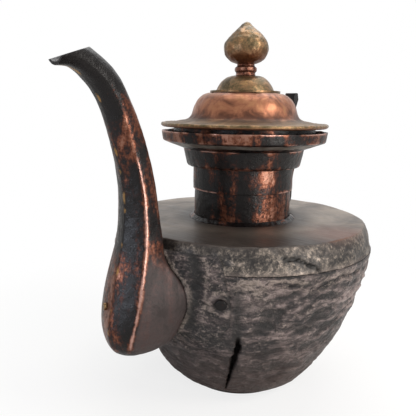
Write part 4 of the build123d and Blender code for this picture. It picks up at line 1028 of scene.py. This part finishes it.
@metal("spun_rubbed_copper")
def rubbed_copper(node, here, colours):
    """Bare copper, spun and hand rubbed.

    The eye sees warm red metal, clouded purple brown in its hollows, with fine turning rings.
    """
    relief = node("ShaderNodeAttribute", {"attribute_name": "relief"}, out="Fac")
    patch = node("ShaderNodeTexNoise", inputs={
        "Vector": here, "Scale": per_mm(13), "Detail": 6.0, "Roughness": 0.66, "Distortion": 0.7})
    split = node("ShaderNodeSeparateXYZ", inputs={0: here}).node.outputs
    # The foot of the dome is clouded and the brim is drier and more yellow
    low = node("ShaderNodeMapRange", inputs={0: split[2], 1: 0.206, 2: 0.198, 4: 0.30})
    tone = node("ShaderNodeMath", {"operation": "SUBTRACT"}, {0: patch, 1: low})
    tone = node("ShaderNodeMath", PART_ADDED, {0: relief, 1: 0.04, 2: tone})
    colour = node("ShaderNodeValToRGB", inputs={0: tone}, stops=[
        (0.14, "#35241f"), (0.36, "#5d3b2c"), (0.52, colours.lid), (0.72, "#a47754")])
    brim = node("ShaderNodeMapRange", inputs={0: split[2], 1: 0.1995, 2: 0.1965, 4: 0.75})
    dry = node("ShaderNodeValToRGB", inputs={0: patch}, stops=[
        (0.35, "#54432f"), (0.55, "#79644b"), (0.70, "#94774c")])
    colour = node("ShaderNodeMix", COLOURS_MIXED, {0: brim, 6: colour, 7: dry}, out=2)
    # Turning rings stand 2.8 mm apart, drawn coarser than real ones so that they show
    flat = node("ShaderNodeCombineXYZ", inputs={0: split[0], 1: split[1]})
    rings = node("ShaderNodeTexWave", {"wave_type": "RINGS", "rings_direction": "SPHERICAL"}, {
        "Vector": flat, "Scale": WAVE_PERIOD * per_mm(2.76), "Distortion": 0.6, "Detail": 2.0,
        "Detail Scale": 0.4}, out="Fac")
    pits = node("ShaderNodeTexNoise", inputs={
        "Vector": here, "Scale": per_mm(1.3), "Detail": 4.0, "Roughness": 0.6})
    rough = node("ShaderNodeMath", PART_ADDED, {0: rings, 1: 0.35, 2: pits})
    return {
        "Base Color": colour,
        "Metallic": 0.8,
        "Roughness": node("ShaderNodeMapRange", inputs={0: tone, 1: 0.2, 2: 0.7, 3: 0.50, 4: 0.30}),
        "Normal": node("ShaderNodeBump", inputs={"Strength": 0.35, "Distance": 0.25 * MM, "Height": rough})}


@metal("cast_yellow_brass")
def cast_brass(node, here, colours):
    """Yellow brass, cast and turned, dulled by touch.

    The eye sees gold on the crests, olive where the skin has dulled and red brown underneath, its darkness
    painted shade.
    """
    normal = node("ShaderNodeNewGeometry", out="Normal")
    facing = node("ShaderNodeSeparateXYZ", inputs={0: normal}, out=2)
    patch = node("ShaderNodeTexNoise", inputs={
        "Vector": here, "Scale": per_mm(7.5), "Detail": 6.0, "Roughness": 0.7, "Distortion": 0.5})
    speck = node("ShaderNodeTexNoise", inputs={
        "Vector": here, "Scale": per_mm(1.1), "Detail": 3.0, "Roughness": 0.6})
    tone = node("ShaderNodeMath", PART_ADDED, {0: speck, 1: 0.4, 2: patch})
    colour = node("ShaderNodeValToRGB", inputs={0: tone}, stops=[
        (0.50, "#3c3021"), (0.66, "#5e5038"), (0.80, colours.brass), (0.96, "#a98858")])
    # Faces that look down are mixed to a dark red brown: painted shade under the knob, cap and rim
    under = node("ShaderNodeMapRange", inputs={0: facing, 1: 0.15, 2: -0.75, 4: 0.85})
    return {
        "Base Color": node("ShaderNodeMix", COLOURS_MIXED, {0: under, 6: colour, 7: "#633a26"}, out=2),
        "Metallic": 0.8,
        "Roughness": node("ShaderNodeMapRange", inputs={0: tone, 1: 0.5, 2: 0.9, 3: 0.46, 4: 0.30}),
        "Normal": node("ShaderNodeBump", inputs={"Strength": 0.4, "Distance": 0.25 * MM, "Height": tone})}


@metal("hand_wiped_tin")
def wiped_tin(node, here, colours):
    """Tin wiped on by hand inside the vessel, stained by tea.

    The eye sees dull grey with brown clouds, and no sharp reflection.
    """
    cloudy = node("ShaderNodeTexNoise", inputs={
        "Vector": here, "Scale": per_mm(19), "Detail": 6.0, "Roughness": 0.62})
    return {
        "Base Color": node("ShaderNodeValToRGB", inputs={0: cloudy}, stops=[
            (0.34, "#453a33"), (0.50, "#6d665f"), (0.66, "#8f8a83")]),
        "Metallic": 0.6,
        "Roughness": 0.5,
        "Normal": node("ShaderNodeBump", inputs={"Strength": 0.4, "Distance": 0.4 * MM, "Height": cloudy})}


class EWER_OT_bowl(bpy.types.Operator):
    """Raises the bowl, with its folds, dents and open seam, and dresses the base disc"""

    bl_idname = "ewer.bowl"
    bl_label = "Bowl and base"

    def execute(self, context):
        side = smooth_line(SIDE, 120)
        inner = set_in(side, BOWL_SHEET)[::-1]
        inner[-1] = (FOOT_RADIUS - 1.0, BASE_TOP + BOWL_SHEET)
        # The wall steps in by the plate's sheet where the plate laps it
        step = LAP_HEIGHT - LAP_GROOVE
        up = np.linspace(step, SHOULDER[1] - PLATE_SHEET, 12)
        hidden = PLATE_SHEET + BOWL_SHEET
        corners = [(FOOT_RADIUS - 10, BASE_TOP), *map(tuple, side),
                   *[(shoulder_at(z), z) for z in (107.0, 107.7, step)],
                   *[(shoulder_at(z, PLATE_SHEET), z) for z in up],
                   *[(shoulder_at(z, hidden), z) for z in up[::-1]],
                   (shoulder_at(BELLY[1], hidden), BELLY[1]), *map(tuple, inner[3:]),
                   (FOOT_RADIUS - 10, BASE_TOP + BOWL_SHEET)]
        piece = turned("bowl", soften(corners, 1.6), 540, bowl_relief, [weathered_copper(), wiped_tin()],
                       inside_of)
        cut(piece, strainer_drills())
        place(piece, "ewer", "hammered_copper", "body_bowl")
        dress(blackened_copper(), "base_disc", bevel=context.scene.ewer_form.edge_wear)
        return {"FINISHED"}


def inside_of(line):
    """Which points of the bowl's outline lie on its inside."""
    side = smooth_line(SIDE, 200)
    low = np.interp(line[:, 1], side[:, 1], side[:, 0])
    high = shoulder_at(np.clip(line[:, 1], BELLY[1], SHOULDER[1]))
    outer = np.where(line[:, 1] > BELLY[1], high, low)
    return (line[:, 0] < outer - 0.8) & (line[:, 1] > BASE_TOP + 0.5)


def strainer_drills():
    """Round cutters along X for the strainer holes behind the spout."""
    sides = 24
    turn = np.linspace(0, 2 * np.pi, sides, endpoint=False)
    ring = STRAINER_HOLE * np.stack([0 * turn, np.cos(turn), np.sin(turn)], 1)
    points = []
    faces = []
    for row, column in itertools.product(range(4), range(3)):
        middle = np.array((0, STRAINER_PITCH * (column - 1), STRAINER_HEIGHT + STRAINER_PITCH * (row - 1.5)))
        first = len(points)
        far = first + sides
        points.extend(ring + middle + (70, 0, 0))
        points.extend(ring + middle + (110, 0, 0))
        for j in range(sides):
            k = (j + 1) % sides
            faces.append((first + j, first + k, far + k, far + j))
        faces += [tuple(range(far - 1, first - 1, -1)), tuple(range(far, far + sides))]
    return skin("strainer_drills", points, faces, {}, [])


class EWER_OT_shoulder(bpy.types.Operator):
    """Makes the shoulder plate, whose torn rim laps the bowl"""

    bl_idname = "ewer.shoulder"
    bl_label = "Shoulder plate"

    def execute(self, context):
        under = SHOULDER[1] - PLATE_SHEET
        skirt = [(shoulder_at(z), z) for z in np.linspace(SHOULDER[1], LAP_HEIGHT, 16)[2:-1]]
        skirt.append((shoulder_at(LAP_HEIGHT), LAP_HEIGHT, 0.6))
        back = [(shoulder_at(z, PLATE_SHEET), z) for z in np.linspace(LAP_HEIGHT, under, 12)]
        corners = [(NECK_RADIUS, under), *back[::-1], *skirt[::-1], (*SHOULDER, 2.4),
                   (NECK_RADIUS, SHOULDER[1])]

        def beneath(line):
            wall = shoulder_at(np.clip(line[:, 1], LAP_HEIGHT, SHOULDER[1]), 1.2)
            return (line[:, 1] < under + 0.1) & (line[:, 0] < wall)

        piece = turned("shoulder_plate_worn", soften(corners, 1.5), 540, plate_relief,
                       [worn_tin(), wiped_tin()], beneath)
        place(piece, "ewer", "grey_shoulder", "shoulder_plate")
        return {"FINISHED"}


class EWER_OT_neck(bpy.types.Operator):
    """Makes the neck's tube, sleeve, foot ring, collar and mouth dish"""

    bl_idname = "ewer.neck"
    bl_label = "Neck and mouth"

    def execute(self, context):
        metals = [blackened_copper(), wiped_tin()]
        for name, node, outline, step, around, relief, inner in (
                ("neck_tube_beaten", "neck_tube", TUBE, 2.0, 320,
                 beaten(0.3, 15.0, 41, bare=tube_wear), lining(35.0)),
                ("neck_sleeve_beaten", "neck_sleeve", SLEEVE, 2.0, 320,
                 beaten(0.25, 17.0, 43, bare=sleeve_painted_highlight), lining(36.3)),
                ("neck_solder_ring", "neck_base_ring", SOLDER_RING, 0.8, 320,
                 dull(beaten(0.35, 5.0, 47)), None),
                ("collar_beaten", "collar_ring", COLLAR, 1.6, 320, beaten(0.3, 13.0, 53), None),
                ("mouth_dish_beaten", "mouth_dish", DISH, 1.6, 420,
                 beaten(0.35, 16.0, 59, bare=dish_wear), lining(58.6, 179.0))):
            piece = turned(name, soften(outline, step), around, relief,
                           metals if inner else metals[:1], inner)
            place(piece, "ewer", "dark_copper", node)
        return {"FINISHED"}


def tube_wear(angle, z):
    """Bare copper low on the neck, most of it to the right of the spout."""
    return hill(angle - 80, 30) * (1 - bump_at(z, 143.0, 152.0)) + 0.6 * hill(angle - 40, 60) * (
        1 - bump_at(z, 129.0, 140.0))


def sleeve_painted_highlight(angle, z):
    """A lighter copper patch on the sleeve, right of the spout: a painted highlight where a lamp's reflection
    falls.
    """
    return 0.8 * hill(angle - 66, 13) * bump_at(z, 150.0, 156.0) * (1 - bump_at(z, 172.0, 178.0))


def dish_wear(angle, z):
    """Thin patina on the dish's upright side, all the way round."""
    return 0.5 * bump_at(z, 182.5, 185.0)


class EWER_OT_spout(bpy.types.Operator):
    """Forms the spout's two shells, its flange sheet, rivets and plug"""

    bl_idname = "ewer.spout"
    bl_label = "Spout and flange"

    def execute(self, context):
        black = blackened_copper()
        step = SIDE_POINTS + RIDGE_POINTS
        front = [*range(5 * step, 6 * step), *range(0, step + 1)]
        back = list(range(step, 5 * step + 1))
        for name, picked, seed in (("spout_front", front, 61), ("spout_back", back, 67)):
            piece = spout_shell(name, picked, 240, black, seed)
            cut(piece, lip_block())
            if picked is back:
                cut(piece, turned("vessel_cutter", vessel_outline(-0.45, 2.4), 360, beaten_skin, []))
            place(piece, "ewer", "dark_copper", name + "_shell")
        piece = flange_sheet("spout_flange_folded", weathered_copper())
        cut(piece, spout_form("root_cutter", 200))
        place(piece, "ewer", "dark_copper", "spout_flange")
        dress(black, "spout_flange_rivets")
        dress(cast_brass(), "spout_plug")
        return {"FINISHED"}


def beaten_skin(points, out):
    """The bowl's beaten skin, for a cutter that follows it."""
    return skin_shift(points)[0], {}


def lip_block():
    """Cutter above the sloping rim of the spout's mouth, which rises towards +Y."""
    back, tip = np.array(LIP_BACK), np.array(LIP_TIP)
    along = (tip - back) / np.linalg.norm(tip - back)
    up = np.array((-along[1], along[0]))
    size = 26
    corners = [back - 5 * along, tip + 14 * along, tip + 14 * along + size * up, back - 5 * along + size * up]
    rise = size * math.tan(math.radians(LIP_TILT))
    points = [(x + rise * side * up[0] * low, size * side, z + rise * side * up[1] * low)
              for side in (-1, 1) for (x, z), low in zip(corners, (1, 1, 0, 0))]
    faces = [(0, 1, 2, 3), (7, 6, 5, 4), (0, 4, 5, 1), (1, 5, 6, 2), (2, 6, 7, 3), (3, 7, 4, 0)]
    return skin("lip_block", points, faces, {}, [])


class EWER_OT_handle(bpy.types.Operator):
    """Dresses the strap handle, its rivets and the hinge"""

    bl_idname = "ewer.handle"
    bl_label = "Handle and hinge"

    def execute(self, context):
        black = blackened_copper()
        wear = context.scene.ewer_form.edge_wear
        dress(black, "handle_strap", "hinge_bracket", "lid_hinge_leaf", bevel=wear)
        dress(black, "thumb_piece", bevel=4 * wear)
        dress(black, "handle_foot_rivets", "hinge_bracket_rivets", "lid_leaf_rivets", "lid_seat_ring",
              "finial_washer")
        dress(cast_brass(), "hinge_pin", "finial_stud")
        return {"FINISHED"}


class EWER_OT_lid(bpy.types.Operator):
    """Spins the lid with its brass edge, step disc and cap"""

    bl_idname = "ewer.lid"
    bl_label = "Lid"

    def execute(self, context):
        brass = cast_brass()
        top = DOME_TOP[1]
        dome = smooth_line(LID_LINE, 40)
        under = set_in(dome, LID_SHEET)
        under[-1] = (DOME_TOP[0], top - LID_SHEET)
        corners = [(BRIM_EDGE[0], BRIM_EDGE[1] - LID_SHEET), BRIM_EDGE, *map(tuple, dome),
                   (STUD_HOLE, top), (STUD_HOLE, top - LID_SHEET), *map(tuple, under[::-1])]
        piece = turned("lid_spun", soften(corners, 1.4), 420, beaten(0.3, 11.0, 71, True),
                       [rubbed_copper(), wiped_tin()], lid_under)
        place(piece, "lid", "warm_copper", "lid_shell")
        middle, half_width, half_height = BRIM_WIRE
        round_wire = [(BRIM_EDGE[0] + half_width * math.cos(t), middle + half_height * math.sin(t))
                      for t in np.linspace(0, 2 * np.pi, 21)[:-1]]
        piece = turned("lid_edge_brass", np.array(round_wire), 420, beaten(0.25, 9.0, 73), [brass])
        place(piece, "lid", "brass", "lid_edge_band")
        dress(brass, "lid_step_disc", bevel=0.3 * MM)
        crown = smooth_line(CAP, 22)
        inner = set_in(crown, CAP_SHEET)
        cap = [(CAP[0][0] - CAP_SHEET, CAP_BOTTOM), *map(tuple, crown), (STUD_HOLE, CAP_TOP),
               (STUD_HOLE, CAP_TOP - CAP_SHEET), *map(tuple, inner[::-1][:-2])]
        piece = turned("lid_cap_brass", soften(cap, 1.2), 240, beaten(0.25, 8.0, 79), [brass])
        place(piece, "lid", "brass", "lid_cap")
        return {"FINISHED"}


def lid_under(line):
    """Which points of the lid's outline lie under it."""
    dome = smooth_line(LID_LINE, 80)[::-1]
    top = np.interp(line[:, 0], [STUD_HOLE, *dome[:, 0], BRIM_EDGE[0]],
                    [DOME_TOP[1], *dome[:, 1], BRIM_EDGE[1]])
    return line[:, 1] < top - 0.9


class EWER_OT_finial(bpy.types.Operator):
    """Turns the finial's copper bead and its brass bud"""

    bl_idname = "ewer.finial"
    bl_label = "Finial"

    def execute(self, context):
        piece = turned("finial_bead_copper", soften(BEAD, 0.6), 160, beaten(0.12, 4.0, 83, bare=bead_wear),
                       [blackened_copper()])
        place(piece, "lid", "warm_copper", "finial_bead")
        bud = smooth_line([(r, KNOB_BOTTOM + rise) for r, rise in KNOB], 70)
        hole = KNOB_BOTTOM + STUD_DEPTH
        corners = [(STUD_HOLE, KNOB_BOTTOM), *map(tuple, bud[:-1]), (0.0, KNOB_BOTTOM + KNOB[-1][1]),
                   (0.0, hole), (STUD_HOLE, hole)]
        piece = turned("finial_bud_brass", soften(corners, 0.8), 200, beaten(0.4, 7.0, 89), [cast_brass()])
        place(piece, "lid", "brass", "finial_knob")
        return {"FINISHED"}


def bead_wear(angle, z):
    """Thin patina all over the bead."""
    return np.full(len(z), 0.9)


def white_paper(settings):
    """Matt white paper under the vessel.

    The eye sees the vessel's shadow near the foot, and further out the paper runs into the room's white.
    """
    material = bpy.data.materials.new("matt_white_paper")
    node = emptied(material)
    away = node("ShaderNodeVectorMath", {"operation": "LENGTH"}, {
        0: node("ShaderNodeTexCoord", out="Object")}, out="Value")
    plain = node("ShaderNodeMapRange", inputs={0: away, 1: 0.12, 2: 0.36, 3: 0.78, 4: 1.0})
    seen = node("ShaderNodeLightPath", out="Is Camera Ray")
    share = node("ShaderNodeMath", PRODUCT, {0: seen, 1: plain})
    matt = node("ShaderNodeBsdfDiffuse", inputs={"Color": settings.floor})
    white = node("ShaderNodeEmission", inputs={"Color": "#ffffff", "Strength": 1.0})
    mixed = node("ShaderNodeMixShader", inputs={0: share, 1: matt, 2: white})
    node("ShaderNodeOutputMaterial", inputs={"Surface": mixed})
    return material


def white_room():
    """A soft white room, whose walls show white to the camera, in metal and through glass."""
    world = bpy.data.worlds.new("soft white room")
    node = emptied(world)
    path = node("ShaderNodeLightPath").node.outputs
    seen = path["Is Camera Ray"]
    for ray in ("Is Glossy Ray", "Is Transmission Ray"):
        seen = node("ShaderNodeMath", {"operation": "MAXIMUM"}, {0: seen, 1: path[ray]})
    soft, white = (node("ShaderNodeBackground", inputs={"Color": "#ffffff", "Strength": strength})
                   for strength in (0.4, 1.0))
    mixed = node("ShaderNodeMixShader", inputs={0: seen, 1: soft, 2: white})
    node("ShaderNodeOutputWorld", inputs={"Surface": mixed})
    return world


class EWER_OT_stage(bpy.types.Operator):
    """Sets the camera, the soft lights and the pale floor"""

    bl_idname = "ewer.stage"
    bl_label = "Camera, light and floor"

    def execute(self, context):
        scene = context.scene
        settings = scene.ewer_stage
        camera = bpy.data.objects.new("camera", bpy.data.cameras.new("camera"))
        scene.collection.objects.link(camera)
        camera.data.lens = settings.lens
        camera.data.sensor_width = 36
        heading = math.radians(CAMERA_HEADING)
        level = Vector((math.cos(heading), math.sin(heading), 0))
        look = math.cos(settings.pitch) * level - math.sin(settings.pitch) * Vector((0, 0, 1))
        turn = look.to_track_quat("-Z", "Y").to_matrix().to_4x4()
        camera.matrix_world = Matrix.Translation(CAMERA_AT) @ turn @ Matrix.Rotation(settings.roll, 4, "Z")
        scene.camera = camera
        for name, spot, size, power, colour in LAMPS:
            lamp = bpy.data.objects.new(name, bpy.data.lights.new(name, "AREA"))
            lamp.data.size = size
            lamp.data.energy = power
            lamp.data.color = linear(colour)
            lamp.location = spot
            lamp.rotation_euler = (Vector(LIT_AT) - Vector(spot)).to_track_quat("-Z", "Y").to_euler()
            scene.collection.objects.link(lamp)
        scene.world = white_room()
        span = 4.0
        mesh = bpy.data.meshes.new("floor")
        mesh.from_pydata([(-span, -span, 0), (span, -span, 0), (span, span, 0), (-span, span, 0)], [],
                         [(0, 1, 2, 3)])
        mesh.materials.append(white_paper(settings))
        floor = bpy.data.objects.new("floor", mesh)
        scene.collection.objects.link(floor)
        scene.view_settings.view_transform = "Standard"
        return {"FINISHED"}


class EWER_PT_panel(bpy.types.Panel):
    """Lists the ewer's pieces and settings"""

    bl_idname = "EWER_PT_panel"
    bl_label = "Tea ewer"
    bl_space_type = "VIEW_3D"
    bl_region_type = "UI"
    bl_category = "Ewer"

    def draw(self, context):
        for operator in PIECES:
            self.layout.operator(operator.bl_idname)
        for group in ("ewer_form", "ewer_colours", "ewer_stage"):
            settings = getattr(context.scene, group)
            box = self.layout.box()
            for name in settings.__annotations__:
                box.prop(settings, name)


PIECES = (EWER_OT_bowl, EWER_OT_shoulder, EWER_OT_neck, EWER_OT_spout, EWER_OT_handle, EWER_OT_lid,
          EWER_OT_finial, EWER_OT_stage)
GROUPS = {"ewer_form": EwerForm, "ewer_colours": EwerColours, "ewer_stage": EwerStage}


def register():
    for made in (*GROUPS.values(), *PIECES, EWER_PT_panel):
        bpy.utils.register_class(made)
    for name, group in GROUPS.items():
        setattr(bpy.types.Scene, name, bpy.props.PointerProperty(type=group))


def unregister():
    for name in GROUPS:
        delattr(bpy.types.Scene, name)
    for made in (EWER_PT_panel, *PIECES[::-1], *GROUPS.values()):
        bpy.utils.unregister_class(made)


def main():
    """Builds every piece and the stage."""
    register()
    for operator in PIECES:
        group, name = operator.bl_idname.split(".")
        getattr(getattr(bpy.ops, group), name)()


if __name__ == "__main__":
    main()
